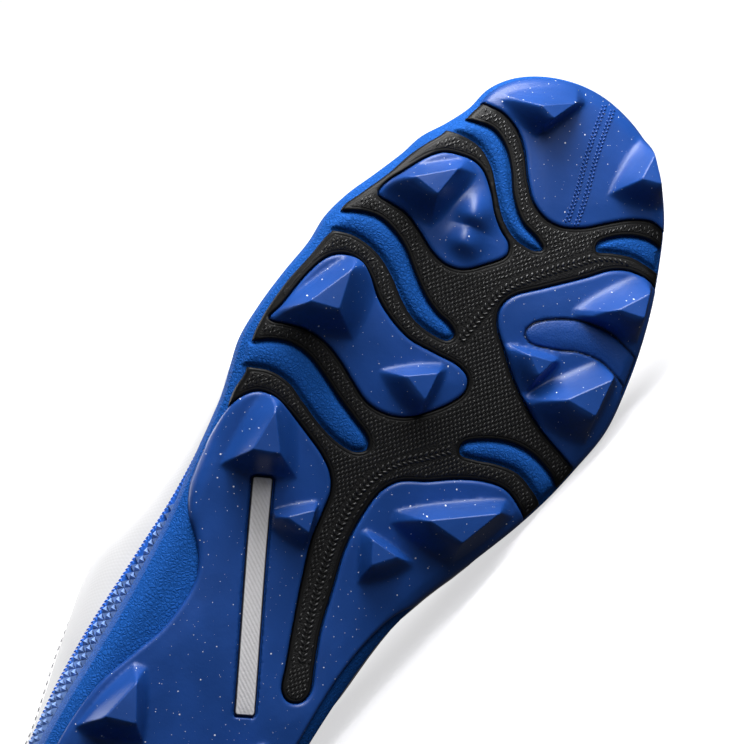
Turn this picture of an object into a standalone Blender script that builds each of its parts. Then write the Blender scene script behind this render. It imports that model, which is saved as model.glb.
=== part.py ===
"""Football cleat, right shoe, lying on its inner side with the studded sole facing -Y.

The shoe is drawn in its own frame, in millimetres: x runs from heel to toe, y to the inner (big toe)
side, z up from the ground. The last step lays the finished solids on the floor.
"""
import math

import bmesh
import bpy
import numpy as np
from mathutils import Matrix, Vector
from mathutils.bvhtree import BVHTree
from mathutils.geometry import delaunay_2d_cdt

MM = 0.001
GAP = 0.3              # clearance between pieces that touch
PLATE_GAP = 0.45       # clearance of the plates' curved inner face
GRID = 13.0            # spacing of the inner points of a sheet
CROWN = 1.0            # rise of the underside 50 mm from the middle
WEB = 1.6              # thickness of the flexible web
PLATE = 2.2            # thickness of the hard plates
RIB = 1.5              # height of the foam ribs in the web's windows
WALL = 2.0             # thickness of the upper
INSOLE = 3.0
BAND = 1.0             # thickness of the edge band
LACE = 1.5
LACE_WIDE = 6.0
FLAT = 0.3             # depth of the flats the shoe rests on
EDGE_DEPTH = (0.0, 2.2, 4.5)     # from the sole's edge inwards
EDGE_LIFT = (2.8, 0.8, 0.0)      # how far the underside turns up there

# Sole in long section: x, underside, top of the foam
PROFILE = (
    (-10, 6.5, 27.0),
    (8, 2.5, 24.0),
    (35, 1.0, 22.0),
    (75, 2.0, 21.0),
    (120, 5.0, 20.0),
    (160, 2.5, 16.5),
    (195, 0.2, 14.0),
    (215, 0.0, 13.5),
    (240, 1.6, 14.2),
    (265, 5.5, 16.8),
    (285, 10.5, 20.5),
    (293, 13.3, 22.5),
)

# Sole's edge in plan, from the heel along the outer side to the toe and back along the inner side
SOLE_EDGE = (
    (-8, -3.5), (-4.5, -15), (3, -24.5), (14, -31.5), (28, -35), (45, -36.5), (65, -37), (85, -37.6),
    (100, -38.5), (112, -39.6), (122, -41.2), (132, -43), (142, -44.6), (151, -46.3), (160, -49),
    (168, -51.2), (180, -51.6), (192, -50.8), (203, -49.5), (212, -49.6), (221, -47.6), (231, -43.7),
    (241, -40), (248, -38), (256, -33.5), (264, -29.9), (272, -28), (279, -23.3), (285, -15.5),
    (289, -6), (290.3, 3), (289.2, 12), (286.3, 20.2), (281.2, 28.4), (274, 34.3), (266, 39.3), (256, 43.7),
    (246, 47.5), (234, 51.2), (220, 54.3), (204, 56.4), (190, 54.7), (178, 52.5), (166, 49.3), (154, 45.2),
    (142, 40.8), (130, 36.5), (118, 33.6), (104, 32), (85, 31.1), (62, 31), (42, 30.4), (26, 28.2),
    (13, 23.8), (3, 17), (-4.5, 8),
)

# Hard plates under the forefoot; points past the sole's edge are drawn in to it
TOE_PLATE = (
    (264, -34), (267, -27), (267.4, -21.5), (265.5, -15.5), (261.5, -10.5), (254.5, -5), (249.6, 0),
    (247.5, 5.5), (248.2, 11), (251.8, 17), (257.4, 22.8), (262.4, 28.5), (265.3, 34), (265.6, 41),
    (272, 44), (282, 38), (290, 28), (295, 14), (297, 3), (295, -8), (290, -20), (283, -28), (273, -36),
)
OUTER_FRONT_POD = (
    (225.3, -41), (229, -41), (235.3, -38.2), (243.5, -34), (246.8, -31), (248.6, -27), (249.6, -22),
    (248.6, -18), (244.6, -13), (239.8, -8.8), (236.7, -4.6), (234.2, 0), (231.2, 1), (225.5, -3),
    (220.5, -8), (219, -13), (219.8, -18), (223, -25), (225.2, -31), (225.2, -37),
)
OUTER_MID_POD = (
    (176.6, -48.2), (182, -47.4), (194, -46), (201, -43.8), (204.5, -40), (205.2, -35.2), (203, -30),
    (199, -24.6), (195.7, -17.4), (194, -10), (194.6, -1.7), (195.3, 7), (193.8, 11), (190, 12.4),
    (184.6, 10.3), (178, 5.4), (174, 1), (171.8, -4.8), (171.8, -10.5), (174.3, -16.8), (177.5, -23.5),
    (179.8, -30.5), (180, -37.5), (178, -44),
)
INNER_FRONT_POD = (
    (216, 8.4), (219, 8.3), (222.4, 9.8), (229, 16), (239, 25.4), (245.3, 31), (248.2, 36), (249, 41),
    (247, 50), (240, 56), (228, 60), (204, 62), (190, 60), (189.5, 53), (191, 47), (193, 39.8),
    (196, 32.6), (201, 24), (207.4, 15.8), (212, 10.5),
)
REAR_PLATE = (
    (100, -24.6), (107, -28), (111.3, -32), (115, -36.3), (121, -40), (129, -42.4), (138, -43.6),
    (147.5, -43.9), (153, -42.4), (156.6, -39.4), (157.7, -35.2), (156.7, -29), (154.3, -21.5),
    (151, -13), (148, -8.3), (144, -5.3), (137.4, -3.7), (129, -2.2), (117.4, 1.9), (104.6, 6.9),
    (93, 11.6), (86, 14.6), (84.3, 18), (86, 21.4), (90, 22.6), (98, 19.4), (107.4, 15.5), (120.3, 11.8),
    (131.7, 8.5), (143, 7.3), (152, 8), (157.2, 11), (161.7, 18), (167.2, 25.4), (171, 32.6),
    (172.4, 39), (170.5, 45), (166, 52), (158, 53), (148, 48), (138, 42), (131, 37.5), (124, 32.3),
    (114, 29.2), (103, 27.4), (90, 26.8), (76, 27.2), (60, 28.4), (44, 28.2), (28, 26), (15, 21.6),
    (5, 14), (-1, 5), (-3, -3.5), (-1, -12), (5.5, -21.5), (16, -28.8), (30, -32.4), (46, -33.6),
    (60, -32.4), (72, -28.6), (84, -25),
)
# Foam ribs that fill the web's windows; the outer ends run off the sole's edge
RIBS = (
    ((249, -43), (252.5, -36), (254.4, -29), (254.4, -22.5), (251.2, -16.4), (245.3, -10.8), (239.8, -5),
     (237, 1), (237.2, 7.6), (239, 9.8), (241, 6.2), (242.6, 0), (247.4, -6), (254.4, -11.2),
     (259.2, -16.2), (261.5, -21.8), (260.4, -27.8), (258.4, -33), (255, -40)),
    ((205, -55), (208.6, -47), (210.6, -42), (211, -37), (210, -31), (207, -24.6), (202.6, -18),
     (199.8, -11.8), (199.2, -4.6), (200.2, 0), (202.6, 0.8), (204.4, -2), (205.4, -7.4), (207.6, -13),
     (211.8, -19.6), (216.4, -26), (218.8, -31.8), (219.6, -37.4), (218, -43), (214.5, -49), (211, -56)),
    ((157, -55), (161.6, -45), (163.8, -39.6), (163.8, -33), (161.2, -26), (158.2, -17.4), (156.9, -10.3),
     (157.6, -4.8), (160, -2.6), (162.8, -4.2), (165.8, -11.7), (168.5, -19), (171.5, -26), (173.8, -33),
     (173.8, -39.6), (171.2, -45.4), (167.5, -50), (164, -57)),
    ((247.8, 24), (249.8, 23), (253, 24.8), (257.3, 29.8), (259.8, 35.4), (260.2, 41), (260, 47),
     (254, 50), (253, 43.5), (252.4, 34.5), (250, 28.5)),
    ((174, 21.8), (177, 20.5), (181.5, 25.2), (185.1, 32.6), (185.9, 39.7), (184.4, 47), (181.6, 53),
     (179, 59), (173, 56), (176.2, 48), (178.6, 40), (177.4, 32.6), (175, 26.5)),
)
POD_RIB = (
    (213.2, 20.8), (215, 18.2), (218.4, 18.8), (223, 23.4), (227.3, 31), (229.2, 39.7), (228.2, 47),
    (226.6, 54), (224, 60), (217, 60), (219.2, 49), (220.4, 42.6), (219, 35.6), (215.6, 28.6),
)
# Outline that the web stays within, away from plates and ribs
WEB_EDGE = (
    (266, -29), (260.6, -30), (255, -33), (251, -34.4), (247.4, -36.3), (241.7, -38.8), (232, -41.8),
    (223, -45.4), (216, -47.9), (210, -46.5), (206.4, -47.3), (199, -48.2), (187.4, -49.9), (174, -50),
    (167, -48.6), (160, -45.6), (153, -45.3), (146, -43), (130, -30), (110, -8), (80, 12), (78, 24),
    (100, 25), (130, 26), (152, 40), (167, 56), (190, 60), (215, 50), (240, 52), (268, 46), (275, 20),
    (275, -10),
)
INLAY_FROM = (136.5, -24.5)      # straight inlay in the rear plate: ends of its middle line
INLAY_TO = (74.0, 9.0)
INLAY_WIDE = 6.4
INLAY_THICK = 0.8
RECESS = 0.9

# Studs: plate, three corners of the flat top, run of the faces after corner 1, 2 and 3, height
STUDS = (
    ("toe_plate", (274, -14.8), (280.8, -6.2), (272.8, -9.8), 7.5, 3.5, 6, 10.5),
    ("toe_plate", (272.6, 22.6), (281.6, 22.8), (274.8, 28.6), 6.5, 4, 6.5, 10.5),
    ("outer_front_pod", (234.3, -36.2), (243.4, -26.6), (233.6, -28), 4, 9, 7.5, 11),
    ("outer_front_pod", (228.6, -15.6), (238.6, -15.4), (233.2, -9.6), 3.5, 3.5, 4, 4.2),
    ("outer_mid_pod", (186.2, -42.8), (200.4, -37.4), (188.8, -34.4), 4.5, 13, 7, 11.5),
    ("outer_mid_pod", (183.8, -5.8), (189.6, 1.6), (181, 2.6), 4, 4.5, 5, 6.5),
    ("inner_front_pod", (235, 36.8), (244.4, 42.6), (237.2, 44.6), 7.5, 4, 7, 11),
    ("inner_front_pod", (203.8, 37.8), (216.2, 46.4), (204.4, 47.6), 7.5, 5, 8, 11.5),
    ("inner_front_pod", (209.2, 21.8), (211.6, 29), (205.8, 27.4), 3, 4, 5, 6.5),
    ("rear_plate", (140.8, -33), (153.6, -33.4), (144, -25.6), 6.5, 9, 6.5, 11.5),
    ("rear_plate", (130, -12.6), (136, -6.8), (129.6, -4.8), 3.5, 3, 4.5, 6.5),
    ("rear_plate", (151.6, 22.8), (164.4, 39.2), (151.4, 34.6), 5, 7, 6, 11.5),
    ("rear_plate", (138, 12.6), (137.8, 21.4), (131.6, 16.2), 3, 5, 4, 6.5),
    ("rear_plate", (52, -27.6), (65, -25), (55, -19), 4.5, 6, 6, 11.5),
    ("rear_plate", (65, 20), (52, 23), (55, 14), 4.5, 6, 6, 11.5),
    ("rear_plate", (14, -21.6), (26, -25.6), (19, -15), 4.5, 6, 6, 11.5),
    ("rear_plate", (26, 20), (14, 15), (19, 9), 4.5, 6, 6, 11.5),
)

# Upper, one row for each section: foot x, outer y, inner y; top x, outer y, inner y, z;
# how far the wall leans out above the foot on each side, how steeply it leaves the foot, and how far
# out and down its handle lies below the top
UPPER = (
    (-4.5, -3.5, -3.5, 0, -3.5, -3.5, 84, 5, 5, 22, 4, 14),
    (0.5, -17.5, 10.5, 4, -17, 10, 82, 5, 5, 20, 3, 13),
    (14, -29.3, 22.2, 17, -26.5, 18.5, 75, 5, 5, 16, 2.5, 12),
    (40, -34, 28, 38, -31, 23.5, 67, 6, 6, 13, 3, 12),
    (70, -35, 28.6, 64, -35, 26, 68, 14, 9, 16, 8, 15),
    (100, -36.2, 29.4, 88, -32, 24.5, 79, 17.5, 14, 20, 18, 19),
    (130, -40, 33.5, 106, -22, 17, 90, 13, 18, 16, 14, 12),
    (160, -46, 44.5, 136, -20, 14, 80, 4, 18, 19, 17, 9),
    (190, -48, 51.8, 166, -16, 11.5, 69, 3, 15, 20, 20, 6),
    (215, -45.6, 51.8, 190, -9, 6.5, 60.5, 2, 13, 20, 24, 3),
    (240, -37, 46.4, 206, -1.5, -1.5, 56.5, 2, 6, 17, 25, 1.5),
    (262, -27, 36.4, 226, 0, 0, 51.5, 2, 3, 15, 23, 1),
    (277, -18, 25.4, 244, 1.5, 1.5, 47, 2, 2, 13, 19, 1),
    (284.6, -7, 14, 256, 2.3, 2.3, 43.5, 2, 2, 12, 16, 1),
    (287, 3, 3, 262, 2.7, 2.7, 41.5, 2, 2, 12, 15, 1),
)
RIDGE_ROW = 10         # from this row to the toe both sides meet on top
RIBS_PER_ROW = 2
RIB_STEPS = 8

# Edge band, height up the wall at each row of the upper, outer and inner side
BAND_HEIGHT = (
    (0, 8.5, 8.5), (1, 8.5, 8.5), (2, 8.4, 8.4), (3, 8.2, 8), (4, 7.8, 7), (5, 6.6, 2.4), (6, 2, 2),
)

# Tongue: x, middle y, half opening of the throat, throat z, slope of the flaps, half width
TONGUE = (
    (82, -2.6, 22, 98.5, 0.9, 18),
    (94, -2.5, 20.5, 94.2, 0.9, 17.8),
    (106, -2.5, 19.5, 90, 0.85, 17.6),
    (121, -2.8, 18.2, 85, 0.7, 20.6),
    (136, -3, 17, 80, 0.53, 22),
    (151, -2.7, 15.4, 74.5, 0.4, 20.5),
    (166, -2.3, 13.8, 69, 0.3, 19),
    (180, -1.7, 10.5, 64, 0.2, 16.5),
    (194, -1.4, 6, 59.2, 0.12, 13),
)
TONGUE_THICK = 2.6
EYELETS = ((112, 6.5), (126, 6.5), (140, 6.5), (154, 6.3), (168, 6), (181, 5.6))   # x, out from the throat
DENSITY = {"midsole": 0.28, "upper": 0.55, "tongue": 0.35, "insole": 0.25, "lace": 0.6}   # others 1.15 g/cm3


def pchip(table, column, x):
    """Smooth value of one column of a table, read at x, with no overshoot."""
    rows = np.array(table, float)
    t = rows[:, 0]
    v = rows[:, column]
    h = np.diff(t)
    s = np.diff(v) / h
    m = np.zeros(len(t))
    for i in range(1, len(t) - 1):
        if s[i - 1] * s[i] > 0:
            a = 2 * h[i] + h[i - 1]
            b = h[i] + 2 * h[i - 1]
            m[i] = (a + b) / (a / s[i - 1] + b / s[i])
    m[0] = s[0]
    m[-1] = s[-1]
    x = np.clip(np.asarray(x, float), t[0], t[-1])
    k = np.clip(np.searchsorted(t, x) - 1, 0, len(h) - 1)
    u = (x - t[k]) / h[k]
    return ((1 + 2 * u) * (1 - u) ** 2 * v[k] + u * (1 - u) ** 2 * h[k] * m[k]
            + u * u * (3 - 2 * u) * v[k + 1] + u * u * (u - 1) * h[k] * m[k + 1])


def smooth_loop(points, spacing):
    """Closed smooth curve through the points, sampled about every spacing millimetres."""
    p = np.array(points, float)
    n = len(p)
    fine = []
    for i in range(n):
        a, b, c, d = p[i - 1], p[i], p[(i + 1) % n], p[(i + 2) % n]
        t0 = 0.0
        t1 = t0 + np.linalg.norm(b - a) ** 0.5
        t2 = t1 + np.linalg.norm(c - b) ** 0.5
        t3 = t2 + np.linalg.norm(d - c) ** 0.5
        for t in np.linspace(t1, t2, 12, endpoint=False):
            a1 = (t1 - t) / (t1 - t0) * a + (t - t0) / (t1 - t0) * b
            a2 = (t2 - t) / (t2 - t1) * b + (t - t1) / (t2 - t1) * c
            a3 = (t3 - t) / (t3 - t2) * c + (t - t2) / (t3 - t2) * d
            b1 = (t2 - t) / (t2 - t0) * a1 + (t - t0) / (t2 - t0) * a2
            b2 = (t3 - t) / (t3 - t1) * a2 + (t - t1) / (t3 - t1) * a3
            fine.append((t2 - t) / (t2 - t1) * b1 + (t - t1) / (t2 - t1) * b2)
    return even_loop(np.array(fine), spacing)


def even_loop(fine, spacing):
    closed = np.vstack([fine, fine[:1]])
    run = np.concatenate([[0], np.cumsum(np.linalg.norm(np.diff(closed, axis=0), axis=1))])
    count = max(8, int(round(run[-1] / spacing)))
    at = np.linspace(0, run[-1], count, endpoint=False)
    loop = np.stack([np.interp(at, run, closed[:, 0]), np.interp(at, run, closed[:, 1])], -1)
    return loop if area(loop) > 0 else loop[::-1]


def cut_long(loop, most):
    """The loop with its long straight sides divided."""
    points = []
    for a, b in zip(loop, np.roll(loop, -1, axis=0)):
        steps = max(1, int(math.ceil(np.linalg.norm(b - a) / most)))
        points += [a + (b - a) * k / steps for k in range(steps)]
    return np.array(points)


def area(loop):
    nxt = np.roll(loop, -1, axis=0)
    return 0.5 * np.sum(loop[:, 0] * nxt[:, 1] - nxt[:, 0] * loop[:, 1])


def outward(loop):
    """Unit normals of an anticlockwise loop, pointing out of it."""
    d = np.roll(loop, -1, axis=0) - np.roll(loop, 1, axis=0)
    d /= np.linalg.norm(d, axis=1)[:, None]
    return np.stack([d[:, 1], -d[:, 0]], -1)


def grow(loop, by):
    return loop + outward(loop) * by


def inside(points, loop):
    x = points[:, 0][:, None]
    y = points[:, 1][:, None]
    a = loop[None]
    b = np.roll(loop, -1, axis=0)[None]
    crosses = (a[..., 1] > y) != (b[..., 1] > y)
    rise = np.where(b[..., 1] == a[..., 1], 1e-12, b[..., 1] - a[..., 1])
    at = a[..., 0] + (y - a[..., 1]) / rise * (b[..., 0] - a[..., 0])
    return (np.sum(crosses & (x < at), axis=1) % 2) == 1


def nearest_on(points, loop):
    a = loop
    d = np.roll(loop, -1, axis=0) - a
    rel = points[:, None] - a[None]
    t = np.clip(np.sum(rel * d[None], -1) / np.sum(d * d, -1)[None], 0, 1)
    foot = a[None] + t[..., None] * d[None]
    gap = np.linalg.norm(points[:, None] - foot, axis=-1)
    k = np.argmin(gap, axis=1)
    rows = np.arange(len(points))
    return gap[rows, k], foot[rows, k], d[k]


def depth(points, loop):
    """Distance inside the loop, negative outside it."""
    gap, _, _ = nearest_on(points, loop)
    return np.where(inside(points, loop), gap, -gap)


def draw_in(loop, edge, least):
    """The loop with the points near or past the edge drawn in to a distance inside it."""
    gap, foot, way = nearest_on(loop, edge)
    deep = np.where(inside(loop, edge), gap, -gap)
    normal = np.stack([-way[:, 1], way[:, 0]], -1)
    normal /= np.linalg.norm(normal, axis=1)[:, None]
    return np.where((deep < least)[:, None], foot + normal * least, loop)


def hold_in(loop, edge, least, spacing):
    return even_loop(draw_in(loop, edge, least), spacing)


SOLE = smooth_loop(SOLE_EDGE, 9.0)
SOLE_FINE = smooth_loop(SOLE_EDGE, 2.0)
LIFT_LOOPS = [grow(SOLE, -e) for e in EDGE_DEPTH[1:]]


def underside(p):
    """Height of the foam's underside, without its ribs."""
    lift = np.interp(depth(p, SOLE), EDGE_DEPTH, EDGE_LIFT)
    return pchip(PROFILE, 1, p[:, 0]) + CROWN * (p[:, 1] / 50) ** 2 + lift


def top_of_foam(x):
    return pchip(PROFILE, 2, x)


def stud_faces(row):
    """Corners of a stud's top, and each face's outward direction and run."""
    corners = np.array(row[1:4], float)
    middle = corners.mean(axis=0)
    faces = []
    for i in range(3):
        a = corners[i]
        b = corners[(i + 1) % 3]
        d = (b - a) / np.linalg.norm(b - a)
        n = np.array([d[1], -d[0]])
        if np.dot(n, a - middle) < 0:
            n = -n
        faces.append((a, n, row[4 + i]))
    return corners, faces


def stud_foot(row):
    """Outline of a stud where it meets its plate."""
    corners, faces = stud_faces(row)
    foot = []
    for i in range(3):
        a1, n1, r1 = faces[i - 1]
        a2, n2, r2 = faces[i]
        foot.append(np.linalg.solve(np.array([n1, n2]), np.array([n1 @ a1 + r1, n2 @ a2 + r2])))
    return np.array(foot)


def stud_rise(p, plate):
    rise = np.zeros(len(p))
    for row in STUDS:
        if row[0] == plate:
            _, faces = stud_faces(row)
            t = np.ones(len(p))
            for a, n, run in faces:
                t = np.minimum(t, 1 - ((p - a) @ n) / run)
            rise = np.maximum(rise, row[7] * np.clip(t, 0, 1))
    return rise


def grid_points(loops, spacing):
    """Even inner points that keep clear of the given lines."""
    xs = np.arange(-6, 292, spacing)
    ys = np.arange(-52, 56, spacing)
    pts = np.array([(x + (spacing / 2 if j % 2 else 0), y) for j, y in enumerate(ys) for x in xs])
    keep = np.ones(len(pts), bool)
    for loop in loops:
        gap, _, _ = nearest_on(pts, loop)
        keep &= gap > spacing * 0.36
    return pts[keep]


def triangulate(outers, holes, marks, spacing):
    """Triangles of a plan region: inside any outer loop, outside every hole, creased along the marks."""
    loops = list(outers) + list(holes) + list(marks)
    points = []
    edges = []
    for loop in loops:
        start = len(points)
        points += [Vector(p) for p in loop]
        edges += [(start + i, start + (i + 1) % len(loop)) for i in range(len(loop))]
    if spacing:
        points += [Vector(p) for p in grid_points(loops, spacing)]
    verts, _, faces, _, _, _ = delaunay_2d_cdt(points, edges, [], 0, 1e-4)
    flat = np.array([(v.x, v.y) for v in verts])
    tris = np.array([f for f in faces if len(f) == 3])
    middle = flat[tris].mean(axis=1)
    keep = np.zeros(len(tris), bool)
    for loop in outers:
        keep |= inside(middle, loop)
    for loop in holes:
        keep &= ~inside(middle, loop)
    a, b, c = (flat[tris[:, k]] for k in range(3))
    size = (b[:, 0] - a[:, 0]) * (c[:, 1] - a[:, 1]) - (c[:, 0] - a[:, 0]) * (b[:, 1] - a[:, 1])
    tris = np.where((size < 0)[:, None], tris[:, ::-1], tris)
    tris = tris[keep & (np.abs(size) > 1e-7)]
    used = np.unique(tris)
    index = np.full(len(flat), -1)
    index[used] = np.arange(len(used))
    return flat[used], index[tris]


def rim_edges(tris):
    """Directed edges that only one triangle uses."""
    count = {}
    for t in tris:
        for i in range(3):
            count[(t[i], t[(i + 1) % 3])] = 1
    return [e for e in count if (e[1], e[0]) not in count]


def sheet_solid(name, flat, tris, low, high):
    """Closed solid between two heights over a triangulated plan."""
    n = len(flat)
    verts = [(p[0], p[1], z) for p, z in zip(flat, low)] + [(p[0], p[1], z) for p, z in zip(flat, high)]
    faces = [(t[2], t[1], t[0]) for t in tris] + [(t[0] + n, t[1] + n, t[2] + n) for t in tris]
    for a, b in rim_edges(tris):
        faces.append((a, b, b + n, a + n))
    return add_solid(name, verts, faces)


def add_solid(name, verts, faces):
    mesh = bpy.data.meshes.new(name)
    mesh.from_pydata([(v[0] * MM, v[1] * MM, v[2] * MM) for v in verts], [], [tuple(map(int, f)) for f in faces])
    mesh.update()
    obj = bpy.data.objects.new(name, mesh)
    SHOE.objects.link(obj)
    return obj


def plate(name, loop, spacing_in=GRID, extra=()):
    """Hard plate with rounded rim and studs, curved like the sole above it."""
    marks = [grow(loop, -1.1)] + LIFT_LOOPS + list(extra)
    for row in STUDS:
        if row[0] == name:
            marks += [np.array(row[1:4], float), cut_long(stud_foot(row), 12.0)]
    flat, tris = triangulate([loop], [], marks, spacing_in)
    base = underside(flat)
    rim = np.interp(depth(flat, loop), (0, 1.1), (-0.8, 0))
    thick = PLATE + rim + stud_rise(flat, name)
    if name == "inner_front_pod":
        thick -= 0.9 * np.clip(depth(flat, POD_RIB_LOOP) / 0.8, 0, 1)
    if name == "rear_plate":
        cut = np.clip(depth(flat, grow(INLAY, 0.7)) / 0.2, 0, 1)
        thick = thick * (1 - cut) + (PLATE - RECESS) * cut
    return sheet_solid(name, flat, tris, base - GAP - thick, base - PLATE_GAP)


def straight_bar():
    """Outline of the straight inlay with small round corners."""
    a = np.array(INLAY_FROM)
    b = np.array(INLAY_TO)
    along = (b - a) / np.linalg.norm(b - a)
    side = np.array([-along[1], along[0]]) * INLAY_WIDE / 2
    loop = []
    for end, way in ((a, -1), (b, 1)):
        for s in (-1, -0.8, 0.8, 1) if way < 0 else (1, 0.8, -0.8, -1):
            back = 0.0 if abs(s) < 1 else 0.7
            loop.append(end + side * s - along * back * way)
    loop = cut_long(np.array(loop), 11.0)
    return loop if area(loop) > 0 else loop[::-1]


def make_midsole():
    """Foam midsole: rounded underside with raised ribs, upright flanks and a flat top."""
    ribs = [draw_in(grow(w, -GAP), SOLE_FINE, 1.4) for w in WINDOWS]
    tops = [grow(r, -0.8) for r in ribs]
    flat, tris = triangulate([SOLE], [], LIFT_LOOPS + ribs + tops, GRID)
    low = underside(flat)
    for r in ribs:
        low -= RIB * np.clip(depth(flat, r) / 0.8, 0, 1)
    order = [int(np.argmin(np.linalg.norm(flat - p, axis=1))) for p in SOLE]
    verts = [(p[0], p[1], z) for p, z in zip(flat, low)]
    faces = [tuple(t[::-1]) for t in tris]
    rings = [order]
    count = len(SOLE)
    for out, up in ((0.5, 0.3), (0.3, 0.62), (-0.5, 0.9), (-1.5, 1.0)):
        ring = grow(SOLE, out)
        z_low = underside(SOLE)
        z_top = top_of_foam(ring[:, 0])
        rings.append(list(range(len(verts), len(verts) + count)))
        verts += [(p[0], p[1], a + (b - a) * up) for p, a, b in zip(ring, z_low, z_top)]
    for lower, upper in zip(rings, rings[1:]):
        for i in range(count):
            j = (i + 1) % count
            faces.append((lower[i], lower[j], upper[j], upper[i]))
    last = np.array([verts[i][:2] for i in rings[-1]])
    cap, cap_tris = triangulate([last], [], [], 20.0)
    index = []
    for p in cap:
        gap = np.linalg.norm(last - p, axis=1)
        if gap.min() < 1e-3:
            index.append(rings[-1][int(np.argmin(gap))])
        else:
            index.append(len(verts))
            verts.append((p[0], p[1], float(top_of_foam(p[0]))))
    faces += [tuple(index[i] for i in t) for t in cap_tris]
    return add_solid("midsole", verts, faces)


def upper_ribs(per_row):
    """Handles of every rib round the upper, from the heel by the outer side and back by the inner."""
    foot = [(r[0], r[1]) for r in UPPER] + [(r[0], r[2]) for r in UPPER[-2:0:-1]]
    n = len(foot)
    way = -outward(np.array(foot))
    if np.dot(way[0], (-1, 0)) < 0:
        way = -way
    rows = []
    for i in range(n):
        k = i if i < len(UPPER) else n - i
        r = UPPER[k]
        outer = i < len(UPPER)
        p0 = np.array([foot[i][0], foot[i][1], float(top_of_foam(foot[i][0])) + GAP])
        p3 = np.array([r[3], r[4] if outer else r[5], r[6]])
        lean = r[7] if outer else r[8]
        out = np.array([way[i][0], way[i][1], 0])
        up = np.array([0, 0, 1.0])
        rows.append(np.array([p0, p0 + out * lean + up * r[9], p3 + out * r[10] - up * r[11], p3]))
    rows = np.array(rows)
    ribs = []
    for i in range(n):
        a, b, c, d = rows[i - 1], rows[i], rows[(i + 1) % n], rows[(i + 2) % n]
        for s in np.arange(per_row) / per_row:
            ribs.append(0.5 * (2 * b + (c - a) * s + (2 * a - 5 * b + 4 * c - d) * s ** 2
                               + (3 * b - 3 * c + d - a) * s ** 3))
    ribs = np.array(ribs)
    total = n * per_row
    for i in range(RIDGE_ROW * per_row, len(UPPER) * per_row - per_row):
        j = total - i
        middle = (ribs[i][3] + ribs[j][3]) / 2
        ribs[i][3] = middle
        ribs[j][3] = middle
    for rib in ribs:
        rib[0][2] = float(top_of_foam(rib[0][0])) + GAP
    return ribs


def on_rib(rib, t):
    return ((1 - t) ** 3 * rib[0] + 3 * t * (1 - t) ** 2 * rib[1] + 3 * t * t * (1 - t) * rib[2]
            + t ** 3 * rib[3])


def make_upper():
    """Hollow upper: one wall lofted from the sole to the collar, the throat and the toe ridge."""
    ribs = upper_ribs(RIBS_PER_ROW)
    n = len(ribs)
    ts = np.linspace(0, 1, RIB_STEPS + 1)
    verts = [on_rib(rib, t) for rib in ribs for t in ts]
    m = RIB_STEPS + 1
    faces = []
    for i in range(n):
        j = (i + 1) % n
        for k in range(RIB_STEPS):
            faces.append((i * m + k, i * m + k + 1, j * m + k + 1, j * m + k))
    obj = add_solid("upper", verts, faces)
    bm = bmesh.new()
    bm.from_mesh(obj.data)
    bmesh.ops.remove_doubles(bm, verts=bm.verts, dist=0.00005)
    bmesh.ops.recalc_face_normals(bm, faces=bm.faces)
    high = max(bm.faces, key=lambda f: -abs(f.calc_center_median().y + 0.05) - abs(f.calc_center_median().z - 0.03))
    if high.normal.y > 0:
        bmesh.ops.reverse_faces(bm, faces=bm.faces)
    bm.to_mesh(obj.data)
    bm.free()
    wall = obj.modifiers.new("wall", "SOLIDIFY")
    wall.thickness = WALL * MM
    wall.offset = -1
    wall.use_even_offset = True
    wall.use_rim = True
    return settle(obj)


def settle(obj):
    """The object with its modifiers turned into plain mesh."""
    bpy.context.view_layer.update()
    seen = obj.evaluated_get(bpy.context.evaluated_depsgraph_get())
    mesh = bpy.data.meshes.new_from_object(seen)
    obj.modifiers.clear()
    obj.data = mesh
    return obj


def wall_normals(ribs, ts):
    """Points on the upper's outer face and their outward normals."""
    p = np.array([[on_rib(rib, t) for t in ts] for rib in ribs])
    du = np.roll(p, -1, axis=0) - np.roll(p, 1, axis=0)
    e = 0.01
    dv = np.array([[on_rib(rib, t + e) - on_rib(rib, t - e) for t in ts] for rib in ribs])
    n = np.cross(dv, du)
    n /= np.linalg.norm(n, axis=-1)[..., None]
    middle = p.mean(axis=(0, 1))
    if np.sum(n * (p - middle)) < 0:
        n = -n
    return p, n


def make_band():
    """Band round the heel and outer waist, laid over the foot of the upper's own wall."""
    ribs = upper_ribs(RIBS_PER_ROW)
    n = len(ribs)
    table = np.array(BAND_HEIGHT, float)
    picked = []
    heights = []
    for i in list(range(5 * RIBS_PER_ROW, 0, -1)) + [0] + [n - k for k in range(1, 5 * RIBS_PER_ROW)]:
        outer = i <= n // 2
        row = (i if outer else n - i) / RIBS_PER_ROW
        picked.append(i)
        heights.append(np.interp(row, table[:, 0], table[:, 1 if outer else 2]))
    length = [np.linalg.norm(on_rib(r, 0.14) - on_rib(r, 0)) / 0.14 for r in ribs]
    inner = []
    for i, h in zip(picked, heights):
        row = []
        for up in (0.6, 0.3 + h / 2, h):
            t = up / length[i]
            p, nrm = wall_normals(ribs, [t])
            row.append((p[i, 0], nrm[i, 0]))
        inner.append(row)
    verts = []
    for row in inner:
        for p, nrm in row:
            level = nrm.copy()
            level[2] *= 0.6
            level /= np.linalg.norm(level)
            verts.append(p + level * (GAP + 0.1))
            verts.append(p + level * (GAP + 0.1 + BAND))
    faces = []
    for a in range(len(inner) - 1):
        i = a * 6
        j = i + 6
        for k in (0, 2):
            faces.append((i + k, j + k, j + k + 2, i + k + 2))
            faces.append((i + k + 1, i + k + 3, j + k + 3, j + k + 1))
        faces.append((i, i + 1, j + 1, j))
        faces.append((i + 4, j + 4, j + 5, i + 5))
    last = (len(inner) - 1) * 6
    faces += [(0, 2, 3, 1), (2, 4, 5, 3), (last, last + 1, last + 3, last + 2),
              (last + 2, last + 3, last + 5, last + 4)]
    obj = add_solid("edge_band", verts, faces)
    return face_out(obj)


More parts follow.
